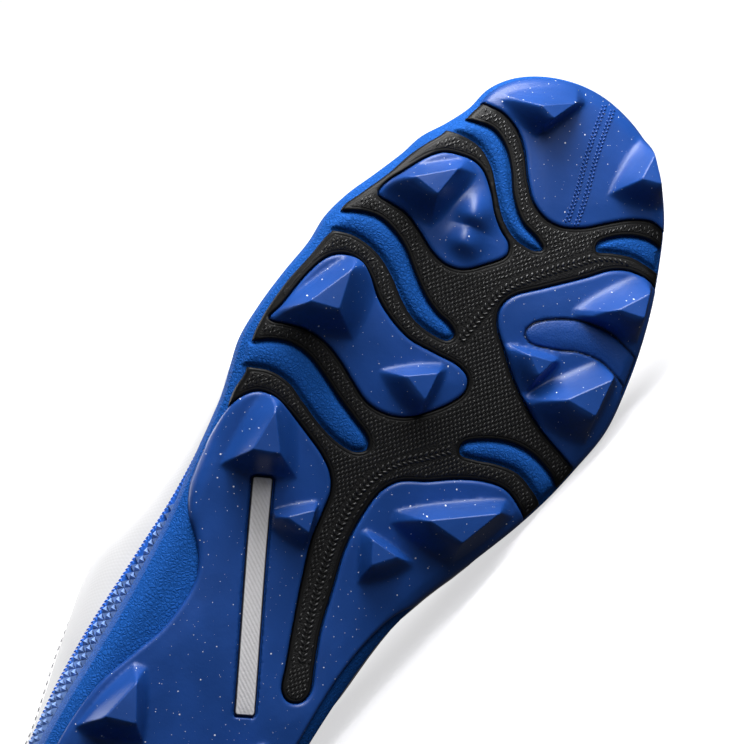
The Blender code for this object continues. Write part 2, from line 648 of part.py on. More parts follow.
def face_out(obj):
    bm = bmesh.new()
    bm.from_mesh(obj.data)
    bmesh.ops.recalc_face_normals(bm, faces=bm.faces)
    if bm.calc_volume(signed=True) < 0:
        bmesh.ops.reverse_faces(bm, faces=bm.faces)
    bm.to_mesh(obj.data)
    bm.free()
    return obj


def tongue_top(x, y):
    """Upper face of the tongue: arched in the throat, tucked under the flaps beside it."""
    mid, half, z, slope = (pchip(TONGUE, k, x) for k in (1, 2, 3, 4))
    v = np.abs(y - mid)
    past = np.maximum(0, v - half)
    arch = slope * half / 2 * (1 - np.minimum(1, (v / half) ** 2))
    return z - WALL * np.sqrt(1 + slope ** 2) - 0.9 + arch - slope * past - 0.035 * past ** 2


def lace_low(x, y):
    """Under side of the lace: an even arch from flap to flap."""
    mid, half, z, slope = (pchip(TONGUE, k, x) for k in (1, 2, 3, 4))
    v = np.abs(y - mid)
    past = np.maximum(0, v - half)
    arch = slope * half / 2 * (1 - np.minimum(1, (v / half) ** 2))
    return z + 0.6 + arch - slope * past - 0.01 * past ** 2


def make_tongue():
    xs = np.linspace(TONGUE[0][0], TONGUE[-1][0], 11)
    across = np.linspace(-1, 1, 9)
    top = []
    low = []
    for i, x in enumerate(xs):
        half = float(pchip(TONGUE, 5, x)) * (0.86 if i == 0 else 1)
        mid = float(pchip(TONGUE, 1, x))
        for s in across:
            y = mid + s * half
            z = float(tongue_top(x, y))
            top.append((x, y, z))
            low.append((x, y - 0.9 * s, z - TONGUE_THICK))
    n = len(top)
    w = len(across)
    faces = []
    for i in range(len(xs) - 1):
        for k in range(w - 1):
            a = i * w + k
            faces.append((a, a + w, a + w + 1, a + 1))
            faces.append((n + a, n + a + 1, n + a + w + 1, n + a + w))
    for i in range(len(xs) - 1):
        for k in (0, w - 1):
            a = i * w + k
            faces.append((a, a + w, n + a + w, n + a))
    for k in range(w - 1):
        for a in (k, (len(xs) - 1) * w + k):
            faces.append((a, a + 1, n + a + 1, n + a))
    return face_out(add_solid("tongue", top + low, faces))


def make_insole():
    """Footbed inside the upper, on the foam."""
    rows = [(r[0], r[1]) for r in UPPER] + [(r[0], r[2]) for r in UPPER[-2:0:-1]]
    loop = grow(smooth_loop(rows, 9.0), -WALL - 1.0)
    flat, tris = triangulate([loop], [], [], 20.0)
    low = top_of_foam(flat[:, 0]) + GAP + 0.15
    return sheet_solid("insole", flat, tris, low, low + INSOLE)


def strip(a, b, wide):
    a = np.array(a, float)
    b = np.array(b, float)
    along = (b - a) / np.linalg.norm(b - a)
    side = np.array([-along[1], along[0]]) * wide / 2
    steps = np.linspace(0, 1, 8)
    loop = [a - side + (b - a) * s for s in steps] + [b + side + (a - b) * s for s in steps]
    return np.array(loop)


def make_lace(over):
    """Criss-cross lace between the eyelet rows, one joined solid lying clear over tongue and flaps."""
    places = []
    for x, out in EYELETS:
        mid = float(pchip(TONGUE, 1, x))
        half = float(pchip(TONGUE, 2, x))
        places.append(((x, mid - half - out), (x, mid + half + out)))
    strips = [strip(places[-1][0], places[-1][1], LACE_WIDE)]
    for low, high in zip(places[1:], places[:-1]):
        strips.append(strip(low[0], high[1], LACE_WIDE))
        strips.append(strip(low[1], high[0], LACE_WIDE))
    flat, tris = triangulate(strips, [], [], None)
    trees = []
    for obj in over:
        bm = bmesh.new()
        bm.from_mesh(obj.data)
        trees.append(BVHTree.FromBMesh(bm))
        bm.free()
    low = []
    for p in flat:
        best = float(lace_low(p[0], p[1])) - 0.5
        for dx, dy in ((0, 0), (3, 0), (-3, 0), (0, 3), (0, -3)):
            for tree in trees:
                hit = tree.ray_cast(Vector(((p[0] + dx) * MM, (p[1] + dy) * MM, 0.2)), Vector((0, 0, -1)))
                if hit[0] is not None:
                    best = max(best, hit[0].z / MM)
        low.append(best + 0.5)
    low = np.array(low)
    return sheet_solid("lace", flat, tris, low, low + LACE)


def rest_matrix(objects):
    """Turn that lays the shoe on its inner side, on the face of its hull under its centre of mass."""
    points = []
    mass = 0.0
    moment = np.zeros(3)
    for obj in objects:
        bm = bmesh.new()
        bm.from_mesh(obj.data)
        bmesh.ops.triangulate(bm, faces=bm.faces)
        weight = DENSITY.get(obj.name, 1.15)
        for f in bm.faces:
            a, b, c = (np.array(v.co) for v in f.verts)
            part = np.dot(a, np.cross(b, c)) / 6 * weight
            mass += part
            moment += part * (a + b + c) / 4
        points += [v.co.copy() for v in bm.verts]
        bm.free()
    centre = moment / mass
    hull = bmesh.new()
    for p in points:
        hull.verts.new(p)
    made = bmesh.ops.convex_hull(hull, input=hull.verts)
    best = None
    for f in (g for g in made["geom"] if isinstance(g, bmesh.types.BMFace)):
        n = np.array(f.normal)
        a = np.array(f.verts[0].co)
        if np.dot(n, a - centre) < 0:
            n = -n
        foot = centre + n * np.dot(n, a - centre)
        corners = [np.array(v.co) for v in f.verts]
        signs = [np.dot(np.cross(corners[(i + 1) % 3] - corners[i], foot - corners[i]), n) for i in range(3)]
        if (min(signs) >= 0 or max(signs) <= 0) and n[1] > 0.8:
            if best is None or n[1] > best[0][1]:
                best = (n, a, corners)
    hull.free()
    if best is None:
        raise RuntimeError("the shoe has no face on its inner side to rest on")
    down = best[0]
    x_axis = np.array([1.0, 0, 0]) - down * down[0]
    x_axis /= np.linalg.norm(x_axis)
    z_axis = -down
    y_axis = np.cross(z_axis, x_axis)
    turn = Matrix((tuple(x_axis) + (0,), tuple(y_axis) + (0,), tuple(z_axis) + (0,), (0, 0, 0, 1)))
    print("rest: lean %.2f, yaw %.2f degrees, centre of mass %s mm, %.0f g" % (
        math.degrees(math.atan2(-down[2], down[1])), math.degrees(math.atan2(down[0], down[1])),
        np.round(centre / MM, 1), mass * 1e6))
    print("rest corners", [np.round(c / MM, 1).tolist() for c in best[2]])
    return turn


def lie_down(objects):
    """Turn every solid, plane off the flats it rests on, put the origin under the middle."""
    turn = rest_matrix(objects)
    for obj in objects:
        obj.data.transform(turn)
    lowest = min(v.co.z for obj in objects for v in obj.data.vertices)
    floor = lowest + FLAT * MM
    for obj in objects:
        if min(v.co.z for v in obj.data.vertices) < floor - 1e-6:
            bm = bmesh.new()
            bm.from_mesh(obj.data)
            geom = bm.verts[:] + bm.edges[:] + bm.faces[:]
            bmesh.ops.bisect_plane(bm, geom=geom, dist=1e-7, plane_co=(0, 0, floor), plane_no=(0, 0, -1),
                                   clear_outer=True)
            rim = [e for e in bm.edges if e.is_boundary]
            bmesh.ops.holes_fill(bm, edges=rim, sides=0)
            bmesh.ops.triangulate(bm, faces=[f for f in bm.faces if len(f.verts) > 4])
            bmesh.ops.recalc_face_normals(bm, faces=bm.faces)
            bm.to_mesh(obj.data)
            bm.free()
    corners = np.array([v.co for obj in objects for v in obj.data.vertices])
    middle = (corners.min(axis=0) + corners.max(axis=0)) / 2
    shift = Matrix.Translation((-middle[0], -middle[1], -floor))
    for obj in objects:
        obj.data.transform(shift)
        obj.data.update()
    return shift @ turn


MATERIALS = {   # name: colour, roughness
    "foam": ((0.01, 0.11, 0.53), 0.6),
    "web": ((0.018, 0.018, 0.019), 0.7),
    "plate": ((0.016, 0.06, 0.3), 0.35),
    "inlay": ((0.58, 0.57, 0.58), 0.6),
    "textile": ((0.82, 0.82, 0.84), 0.7),
    "band": ((0.02, 0.1, 0.5), 0.5),
    "lining": ((0.03, 0.03, 0.035), 0.9),
    "cord": ((0.75, 0.75, 0.77), 0.85),
}
SLOTS = {
    "midsole": "foam", "flex_web": "web", "toe_plate": "plate", "outer_front_pod": "plate",
    "outer_mid_pod": "plate", "inner_front_pod": "plate", "rear_plate": "plate", "arch_inlay": "inlay",
    "edge_band": "band", "upper": "textile", "tongue": "textile", "insole": "lining", "lace": "cord",
}


def paint(objects):
    made = {}
    for name, (colour, rough) in MATERIALS.items():
        mat = bpy.data.materials.new(name)
        mat.use_nodes = True
        shader = mat.node_tree.nodes["Principled BSDF"]
        shader.inputs["Base Color"].default_value = colour + (1,)
        shader.inputs["Roughness"].default_value = rough
        made[name] = mat
    for obj in objects:
        obj.data.materials.clear()
        obj.data.materials.append(made[SLOTS[obj.name]])


for old in list(bpy.data.objects):
    bpy.data.objects.remove(old)
SHOE = bpy.data.collections.new("football_cleat")
bpy.context.scene.collection.children.link(SHOE)

INLAY = straight_bar()
WINDOWS = [smooth_loop(r, 4.6) for r in RIBS]
POD_RIB_LOOP = hold_in(smooth_loop(POD_RIB, 1.5), SOLE_FINE, 1.4, 5.0)
PLATES = {
    "toe_plate": hold_in(smooth_loop(TOE_PLATE, 1.5), SOLE_FINE, 0.35, 5.5),
    "outer_front_pod": hold_in(smooth_loop(OUTER_FRONT_POD, 1.5), SOLE_FINE, 0.35, 5.0),
    "outer_mid_pod": hold_in(smooth_loop(OUTER_MID_POD, 1.5), SOLE_FINE, 0.35, 5.5),
    "inner_front_pod": hold_in(smooth_loop(INNER_FRONT_POD, 1.5), SOLE_FINE, 0.35, 5.5),
    "rear_plate": hold_in(smooth_loop(REAR_PLATE, 1.5), SOLE_FINE, 0.35, 7.0),
}

parts = [make_midsole()]
for plate_name, plate_loop in PLATES.items():
    if plate_name == "inner_front_pod":
        parts.append(plate(plate_name, plate_loop, GRID, (POD_RIB_LOOP, grow(POD_RIB_LOOP, -0.8))))
    elif plate_name == "rear_plate":
        parts.append(plate(plate_name, plate_loop, GRID, (grow(INLAY, 0.7), grow(INLAY, 0.3))))
    else:
        parts.append(plate(plate_name, plate_loop))

web_holes = [grow(loop, GAP) for loop in PLATES.values()]
web_holes += WINDOWS
web_flat, web_tris = triangulate([hold_in(smooth_loop(WEB_EDGE, 2.0), SOLE_FINE, 0.7, 6.5)], web_holes,
                                 LIFT_LOOPS, GRID)
web_base = underside(web_flat)
parts.append(sheet_solid("flex_web", web_flat, web_tris, web_base - GAP - WEB, web_base - GAP))

inlay_flat, inlay_tris = triangulate([INLAY], [], [], GRID)
inlay_base = underside(inlay_flat) - GAP - PLATE + RECESS
parts.append(sheet_solid("arch_inlay", inlay_flat, inlay_tris, inlay_base - GAP - INLAY_THICK, inlay_base - GAP))

upper = make_upper()
tongue = make_tongue()
parts += [upper, tongue, make_insole(), make_band(), make_lace((upper, tongue))]
paint(parts)
PLACEMENT = lie_down(parts)
print("placement", [[round(v, 6) for v in row] for row in PLACEMENT])
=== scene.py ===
"""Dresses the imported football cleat: foam midsole, flexible web, hard plates, band, upper and lace.

Shapes are drawn in the shoe's own frame, in millimetres: x runs from heel to toe, y to the inner (big toe)
side, z up from the ground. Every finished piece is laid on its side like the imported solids.
"""
import math
import bpy
import numpy as np
from bpy.props import FloatProperty, FloatVectorProperty, IntProperty, PointerProperty
from mathutils import Matrix, Vector
from mathutils.bvhtree import BVHTree
from mathutils.geometry import delaunay_2d_cdt
from mathutils.kdtree import KDTree


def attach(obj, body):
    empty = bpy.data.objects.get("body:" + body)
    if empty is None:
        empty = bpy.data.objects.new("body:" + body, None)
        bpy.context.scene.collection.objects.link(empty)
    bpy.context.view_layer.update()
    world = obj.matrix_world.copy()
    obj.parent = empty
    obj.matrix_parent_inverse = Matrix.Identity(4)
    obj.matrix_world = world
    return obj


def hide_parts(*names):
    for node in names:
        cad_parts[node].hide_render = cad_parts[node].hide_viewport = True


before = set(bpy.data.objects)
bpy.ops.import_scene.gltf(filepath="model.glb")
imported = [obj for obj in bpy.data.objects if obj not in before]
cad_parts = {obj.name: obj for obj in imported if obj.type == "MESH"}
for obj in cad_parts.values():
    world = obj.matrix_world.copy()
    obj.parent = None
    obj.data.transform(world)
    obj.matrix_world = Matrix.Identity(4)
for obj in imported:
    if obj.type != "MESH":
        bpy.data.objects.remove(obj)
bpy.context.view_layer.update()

bl_info = {
    "name": "Football cleat",
    "version": (1, 0, 0),
    "blender": (4, 5, 0),
    "location": "3D View > Sidebar > Cleat",
    "description": "Dresses a packed football cleat with its foam, web, plates, band, upper and lace",
    "category": "Object",
}

MM = 0.001
BODY = "root"
GAP = 0.3                # clearance between pieces that touch
PLATE_GAP = 0.45         # clearance of the plates' curved inner face
CROWN = 1.0              # rise of the underside 50 mm from the middle
EDGE_LIFT = ((0.0, 2.8), (2.2, 0.8), (4.5, 0.0))   # depth inside the sole's edge, lift of the underside
WALL = 2.0               # thickness of the upper
LEAN = 1.546             # degrees that the lying shoe leans
TURN = -9.149            # degrees that its toe points up
ZERO_AT = (-139.362, -45.187, 23.801)   # where the shoe's own zero lies, in millimetres
# Plan boxes that hold the sole, the web and the insole: least and most x, least and most y
SOLE_BOX = (-9, 291, -53, 58)
WEB_BOX = (76, 276, -52, 58)
INSOLE_BOX = (-6, 290, -50, 56)

# Camera, fitted to the photo: degrees of roll, of tilt from straight below the sole to its side and to
# its end, and distance in millimetres
VIEW_ROLL = 57.5
VIEW_SIDE = 9.0
VIEW_END = 6.0
VIEW_FAR = 1300.0
MM_PER_PIXEL = 0.303
FRAME_PIXELS = 744
AIM_PIXEL = (616.0, 98.0)          # the pixel that sees the toe's tip
AIM_POINT = (292.0, 6.0, 13.01)    # the toe's tip

# Sole in long section: x, underside, top of the foam
PROFILE = (
    (-10, 6.5, 27.0),
    (8, 2.5, 24.0),
    (35, 1.0, 22.0),
    (75, 2.0, 21.0),
    (120, 5.0, 20.0),
    (160, 2.5, 16.5),
    (195, 0.2, 14.0),
    (215, 0.0, 13.5),
    (240, 1.6, 14.2),
    (265, 5.5, 16.8),
    (285, 10.5, 20.5),
    (293, 13.3, 22.5),
)
# Sole's edge in plan, from the heel along the outer side to the toe and back along the inner side
SOLE_EDGE = (
    (-8, -3.5), (-4.5, -15), (3, -24.5), (14, -31.5), (28, -35), (45, -36.5), (65, -37), (85, -37.6),
    (100, -38.5), (112, -39.6), (122, -41.2), (132, -43), (142, -44.6), (151, -46.3), (160, -49),
    (168, -51.2), (180, -51.6), (192, -50.8), (203, -49.5), (212, -49.6), (221, -47.6), (231, -43.7),
    (241, -40), (248, -38), (256, -33.5), (264, -29.9), (272, -28), (279, -23.3), (285, -15.5),
    (289, -6), (290.3, 3), (289.2, 12), (286.3, 20.2), (281.2, 28.4), (274, 34.3), (266, 39.3), (256, 43.7),
    (246, 47.5), (234, 51.2), (220, 54.3), (204, 56.4), (190, 54.7), (178, 52.5), (166, 49.3), (154, 45.2),
    (142, 40.8), (130, 36.5), (118, 33.6), (104, 32), (85, 31.1), (62, 31), (42, 30.4), (26, 28.2),
    (13, 23.8), (3, 17), (-4.5, 8),
)
# Outlines of the hard plates; points past the sole's edge are drawn in to it
PLATE_EDGES = {
    "toe_plate": (
        (267, -33.2), (267, -27), (267.4, -21.5), (265.5, -15.5), (261.5, -10.5), (254.5, -5), (249.6, 0),
        (247.5, 5.5), (248.2, 11), (251.8, 17), (257.4, 22.8), (262.4, 28.5), (265.3, 34), (265.6, 41),
        (272, 44), (282, 38), (290, 28), (295, 14), (297, 3), (295, -8), (290, -20), (283, -28), (273, -36),
    ),
    "outer_front_pod": (
        (225.3, -41), (229, -41), (235.3, -38.2), (243.5, -34), (246.8, -31), (248.6, -27), (249.6, -22),
        (248.6, -18), (244.6, -13), (239.8, -8.8), (236.7, -4.6), (234.2, 0), (231.2, 1), (225.5, -3),
        (220.5, -8), (219, -13), (219.8, -18), (223, -25), (225.2, -31), (225.2, -37),
    ),
    "outer_mid_pod": (
        (176.6, -48.2), (182, -47.4), (194, -46), (201, -43.8), (204.5, -40), (205.2, -35.2), (203, -30),
        (199, -24.6), (195.7, -17.4), (194, -10), (194.6, -1.7), (195.3, 7), (193.8, 11), (190, 12.4),
        (184.6, 10.3), (178, 5.4), (174, 1), (171.8, -4.8), (171.8, -10.5), (174.3, -16.8), (177.5, -23.5),
        (179.8, -30.5), (180, -37.5), (178, -44),
    ),
    "inner_front_pod": (
        (216, 8.4), (219, 8.3), (222.4, 9.8), (229, 16), (239, 25.4), (245.3, 31), (248.2, 36), (249, 41),
        (247, 50), (240, 56), (228, 60), (204, 62), (190, 60), (189.5, 53), (191, 47), (193, 39.8),
        (196, 32.6), (201, 24), (207.4, 15.8), (212, 10.5),
    ),
    "rear_plate": (
        (100, -24.6), (107, -28), (111.3, -32), (115, -36.3), (121, -40), (129, -42.4), (138, -43.6),
        (147.5, -43.9), (153, -42.4), (156.6, -39.4), (157.7, -35.2), (156.7, -29), (154.3, -21.5),
        (151, -13), (148, -8.3), (144, -5.3), (137.4, -3.7), (129, -2.2), (117.4, 1.9), (104.6, 6.9),
        (93, 11.6), (86, 14.6), (84.3, 18), (86, 21.4), (90, 22.6), (98, 19.4), (107.4, 15.5), (120.3, 11.8),
        (131.7, 8.5), (143, 7.3), (152, 8), (157.2, 11), (161.7, 18), (167.2, 25.4), (171, 32.6),
        (172.4, 39), (170.5, 45), (166, 52), (158, 53), (148, 48), (138, 42), (131, 37.5), (124, 32.3),
        (114, 29.2), (103, 27.4), (90, 26.8), (76, 27.2), (60, 28.4), (44, 28.2), (28, 26), (15, 21.6),
        (5, 14), (-1, 5), (-3, -3.5), (-1, -12), (5.5, -21.5), (16, -28.8), (30, -32.4), (46, -33.6),
        (60, -32.4), (72, -28.6), (84, -25),
    ),
}
# Foam ribs that fill the web's windows; the outer ends run off the sole's edge
RIBS = (
    ((249, -43), (252.5, -36), (254.4, -29), (254.4, -22.5), (251.2, -16.4), (245.3, -10.8), (239.8, -5),
     (237, 1), (237.2, 7.6), (239, 9.8), (241, 6.2), (242.6, 0), (247.4, -6), (254.4, -11.2),
     (259.2, -16.2), (261.5, -21.8), (260.4, -27.8), (258.4, -33), (255, -40)),
    ((205, -55), (208.6, -47), (210.6, -42), (211, -37), (210, -31), (207, -24.6), (202.6, -18),
     (199.8, -11.8), (199.2, -4.6), (200.2, 0), (202.6, 0.8), (204.4, -2), (205.4, -7.4), (207.6, -13),
     (211.8, -19.6), (216.4, -26), (218.8, -31.8), (219.6, -37.4), (218, -43), (214.5, -49), (211, -56)),
    ((157, -55), (161.6, -45), (163.8, -39.6), (163.8, -33), (161.2, -26), (158.2, -17.4), (156.9, -10.3),
     (157.6, -4.8), (160, -2.6), (162.8, -4.2), (165.8, -11.7), (168.5, -19), (171.5, -26), (173.8, -33),
     (173.8, -39.6), (171.2, -45.4), (167.5, -50), (164, -57)),
    ((247.8, 24), (249.8, 23), (253, 24.8), (257.3, 29.8), (259.8, 35.4), (260.2, 41), (260, 47),
     (254, 50), (253, 43.5), (252.4, 34.5), (250, 28.5)),
    ((174, 21.8), (177, 20.5), (181.5, 25.2), (185.1, 32.6), (185.9, 39.7), (184.4, 47), (181.6, 53),
     (179, 59), (173, 56), (176.2, 48), (178.6, 40), (177.4, 32.6), (175, 26.5)),
)
POD_RIB = (
    (213.2, 20.8), (215, 18.2), (218.4, 18.8), (223, 23.4), (227.3, 31), (229.2, 39.7), (228.2, 47),
    (226.6, 54), (224, 60), (217, 60), (219.2, 49), (220.4, 42.6), (219, 35.6), (215.6, 28.6),
)
# Outline that the web stays within, away from plates and ribs
WEB_EDGE = (
    (266, -29), (260.6, -30), (255, -33), (251, -34.4), (247.4, -36.3), (241.7, -38.8), (232, -41.8),
    (223, -45.4), (216, -47.9), (210, -46.5), (206.4, -47.3), (199, -48.2), (187.4, -49.9), (174, -50),
    (167, -48.6), (160, -45.6), (153, -45.3), (146, -43), (130, -30), (110, -8), (80, 12), (78, 24),
    (100, 25), (130, 26), (152, 40), (167, 56), (190, 60), (215, 50), (240, 52), (268, 46), (275, 20),
    (275, -10),
)
INLAY_FROM = (136.5, -24.5)      # straight inlay in the rear plate: ends of its middle line
INLAY_TO = (74.0, 9.0)
INLAY_WIDE = 6.4
INLAY_THICK = 0.8
RECESS = 0.9

# Studs: plate, three corners of the top, run of the faces after corner 1, 2 and 3, height
STUDS = (
    ("toe_plate", (274, -14.8), (280.8, -6.2), (272.8, -9.8), 7.5, 3.5, 6, 10.5),
    ("toe_plate", (272.6, 22.6), (281.6, 22.8), (274.8, 28.6), 6.5, 4, 6.5, 10.5),
    ("outer_front_pod", (234.3, -36.2), (243.4, -26.6), (233.6, -28), 4, 9, 7.5, 11),
    ("outer_mid_pod", (186.2, -42.8), (200.4, -37.4), (188.8, -34.4), 4.5, 13, 7, 11.5),
    ("outer_mid_pod", (183.8, -5.8), (189.6, 1.6), (181, 2.6), 4, 4.5, 5, 6.5),
    ("inner_front_pod", (235, 36.8), (244.4, 42.6), (237.2, 44.6), 7.5, 4, 7, 11),
    ("inner_front_pod", (203.8, 37.8), (216.2, 46.4), (204.4, 47.6), 7.5, 5, 8, 11.5),
    ("inner_front_pod", (209.2, 21.8), (211.6, 29), (205.8, 27.4), 3, 4, 5, 6.5),
    ("rear_plate", (140.8, -33), (153.6, -33.4), (144, -25.6), 6.5, 9, 6.5, 11.5),
    ("rear_plate", (130, -12.6), (136, -6.8), (129.6, -4.8), 3.5, 3, 4.5, 6.5),
    ("rear_plate", (151.6, 22.8), (164.4, 39.2), (151.4, 34.6), 5, 7, 6, 11.5),
    ("rear_plate", (138, 12.6), (137.8, 21.4), (131.6, 16.2), 3, 5, 4, 6.5),
    ("rear_plate", (52, -27.6), (65, -25), (55, -19), 4.5, 6, 6, 11.5),
    ("rear_plate", (65, 20), (52, 23), (55, 14), 4.5, 6, 6, 11.5),
    ("rear_plate", (14, -21.6), (26, -25.6), (19, -15), 4.5, 6, 6, 11.5),
    ("rear_plate", (26, 20), (14, 15), (19, 9), 4.5, 6, 6, 11.5),
)
# Twin-topped nub on the outer front pod: place, height and reach of each bump
NUB = ((227.4, -12.6, 3.6, 4.4), (235.6, -14.4, 4.2, 4.6))
STUD_FALL = 0.12         # share of its height that a stud's top loses towards the toe
STUD_HEEL_RUN = 1.45     # how much further the face on the heel side runs out
STUD_CORNER_RUN = 1.05   # run of a cut-off corner, in runs of the two faces beside it
STUD_TOE_RUN = 0.62      # the same at the corner nearest the toe
STUD_CORNER_START = 1.06   # level of a cut-off corner's face at the top's own corner
# The rear plate's rim rolls wider at the outer waist: x, innermost y, reach, extra radius
WAIST_LIP = (124, -18, 15, 2.4)

# Lines of raised knurls: points, number of rows, spacing of the rows
WEB_LINES = (
    (((97, 15), (108, 10.8), (120, 7), (135, 3.4), (150, 2.6), (160, 6.2), (168, 13.5), (173, 18)), 2, 1.5),
    (((203, 3.2), (212, 4.2), (222, 6), (231, 12), (240, 19.4), (247, 26), (250.4, 33), (251, 42)), 2, 1.5),
)
TOE_LINE = ((250.5, 13), (260, 11), (270, 8.2), (280, 6.2), (287, 5.2))

# Upper, one row for each section: foot x, outer y, inner y; top x, outer y, inner y, z;
# how far the wall leans out above the foot on each side, how steeply it leaves the foot, and how far
# out and down its handle lies below the top
UPPER = (
    (-4.5, -3.5, -3.5, 0, -3.5, -3.5, 84, 5, 5, 22, 4, 14),
    (0.5, -17.5, 10.5, 4, -17, 10, 82, 5, 5, 20, 3, 13),
    (14, -29.3, 22.2, 17, -26.5, 18.5, 75, 5, 5, 16, 2.5, 12),
    (40, -34, 28, 38, -31, 23.5, 67, 6, 6, 13, 3, 12),
    (70, -35, 28.6, 64, -35, 26, 68, 14, 9, 16, 8, 15),
    (100, -36.2, 29.4, 88, -32, 24.5, 79, 17.5, 14, 20, 18, 19),
    (130, -40, 33.5, 106, -22, 17, 90, 13, 18, 16, 14, 12),
    (160, -46, 44.5, 136, -20, 14, 80, 4, 18, 19, 17, 9),
    (190, -48, 51.8, 166, -16, 11.5, 69, 3, 15, 20, 20, 6),
    (215, -45.6, 51.8, 190, -9, 6.5, 60.5, 2, 13, 20, 24, 3),
    (240, -37, 46.4, 206, -1.5, -1.5, 56.5, 2, 6, 17, 25, 1.5),
    (262, -27, 36.4, 226, 0, 0, 51.5, 2, 3, 15, 23, 1),
    (277, -18, 25.4, 244, 1.5, 1.5, 47, 2, 2, 13, 19, 1),
    (284.6, -7, 14, 256, 2.3, 2.3, 43.5, 2, 2, 12, 16, 1),
    (287, 3, 3, 262, 2.7, 2.7, 41.5, 2, 2, 12, 15, 1),
)
RIDGE_ROW = 10           # from this row to the toe both sides meet on top
PER_ROW = 6              # ribs of the upper between two rows
STEPS = 44               # steps up each rib

# Edge band: row of the upper, height up the wall on the outer and the inner side
BAND_HEIGHT = (
    (0, 8.5, 8.5), (1, 8.5, 8.5), (2, 8.4, 8.4), (3, 8.2, 8), (4, 7.8, 7), (5, 6, 2.4), (5.6, 3.4, 2),
    (6.2, 1.6, 2),
)
BAND_OUTER_END = 6.2     # row at which the band ends on the outer side
BAND_INNER_END = 5.0     # and on the inner side
BAND_START = 0.6         # its lower edge, up the wall
BAND_FACE = 1.05         # its outer face, off the wall's clearance
BAND_BACK = 0.05         # its inner face
FACET_SIDE = 2.8         # a facet's side
FACET_RISE = 1.5         # and its height
# Creases of the upper over the toes: x, width, depth, slant; and at the waist: x, width, depth
TOE_CREASES = ((203, 3.2, 0.5, 0.1), (212, 3.6, 0.65, 0.16), (222, 3.0, 0.45, 0.2))
WAIST_CREASES = ((118, 5.0, 0.5), (131, 4.5, 0.4))
# Tongue: x, middle y, half opening of the throat, throat z, slope of the flaps, half width
TONGUE = (
    (82, -2.6, 22, 98.5, 0.9, 18),
    (94, -2.5, 20.5, 94.2, 0.9, 17.8),
    (106, -2.5, 19.5, 90, 0.85, 17.6),
    (121, -2.8, 18.2, 85, 0.7, 20.6),
    (136, -3, 17, 80, 0.53, 22),
    (151, -2.7, 15.4, 74.5, 0.4, 20.5),
    (166, -2.3, 13.8, 69, 0.3, 19),
    (180, -1.7, 10.5, 64, 0.2, 16.5),
    (194, -1.4, 6, 59.2, 0.12, 13),
    (208, -1.4, 3, 55.4, 0.1, 9),
)
TONGUE_THICK = 2.6
INSOLE_THICK = 3.0
EYELETS = ((112, 6.5), (126, 6.5), (140, 6.5), (154, 6.3), (168, 6), (181, 5.6))   # x, out from the throat
EYELET_RING = (5.6, 5.6, 3.6)   # how far an eyelet's plain ring is stretched along, across and up
LACE_DIP = 2.6           # how deep a run's ends go into their eyelets
LACE_LIFT = 0.9          # how high a run lies over an eyelet


def length_value(name, description, default, least=0.0):
    """A size in metres."""
    return FloatProperty(name=name, description=description, default=default, min=least, unit="LENGTH")


def power_value(name, description, default):
    """A light's power in watts."""
    return FloatProperty(name=name, description=description, default=default, min=0, unit="POWER")


def colour_value(name, description, default):
    """A linear colour."""
    return FloatVectorProperty(name=name, description=description, default=default,
                               min=0, max=1, subtype="COLOR")


class SoleSettings(bpy.types.PropertyGroup):
    """Sizes of the sole's pieces"""

    plate: length_value("Plate", "Thickness of the hard plates", 0.0022, 0.0005)
    web: length_value("Web", "Thickness of the flexible web", 0.0016, 0.0005)
    rib: length_value("Rib", "Height of the foam ribs in the web's windows", 0.0015)
    lip: length_value("Lip", "Radius of the plates' rolled rim", 0.0011, 0.0002)
    edging: length_value("Edging", "Width of the smooth bead round the web", 0.0011, 0.0002)
    knurl: length_value("Knurl", "Height of the web's small raised bars", 0.00022)
    flare: FloatProperty(name="Flare", description="How far a stud's skirt spreads past its plain foot",
                         default=1.22, min=1.0, max=2.0, subtype="FACTOR")
    seed: IntProperty(name="Seed", description="Seed of the small bars' unevenness", default=7, min=0)


class UpperSettings(bpy.types.PropertyGroup):
    """Sizes of the upper, the tongue and the lace"""

    padding: length_value("Padding", "Extra thickness of the padded collar", 0.0032)
    overlay: length_value("Overlay", "Step of the eyelet flaps above the wall", 0.0006)
    lace_width: length_value("Lace width", "Width of the flat lace", 0.006, 0.001)
    lace_thick: length_value("Lace thickness", "Thickness of the flat lace", 0.0013, 0.0003)
    stitch: length_value("Stitch", "Spacing of the seams' stitches", 0.0028, 0.001)


class ColourSettings(bpy.types.PropertyGroup):
    """Colours of the cleat"""

    plate: colour_value("Plate", "Hard plates", (0.0085, 0.058, 0.272))
    foam: colour_value("Foam", "Midsole", (0.0105, 0.092, 0.39))
    web: colour_value("Web", "Flexible web", (0.006, 0.006, 0.0065))
    inlay: colour_value("Inlay", "Arch inlay", (0.68, 0.67, 0.69))
    band: colour_value("Band", "Faceted edge band", (0.012, 0.1, 0.46))
    textile: colour_value("Upper", "Upper, tongue and lace", (0.66, 0.66, 0.675))
    lining: colour_value("Lining", "Lining and insole", (0.035, 0.036, 0.04))


class StageSettings(bpy.types.PropertyGroup):
    """Floor and light"""

    floor: colour_value("Floor", "Colour of the floor", (0.36, 0.36, 0.37))
    key: power_value("Key", "Power of the light overhead", 11.5)
    fill: power_value("Fill", "Power of the light in front", 4.2)
    back: power_value("Back", "Power of the light behind", 22.0)
    sky: FloatProperty(name="Sky", description="Strength of the even light", default=0.06, min=0)


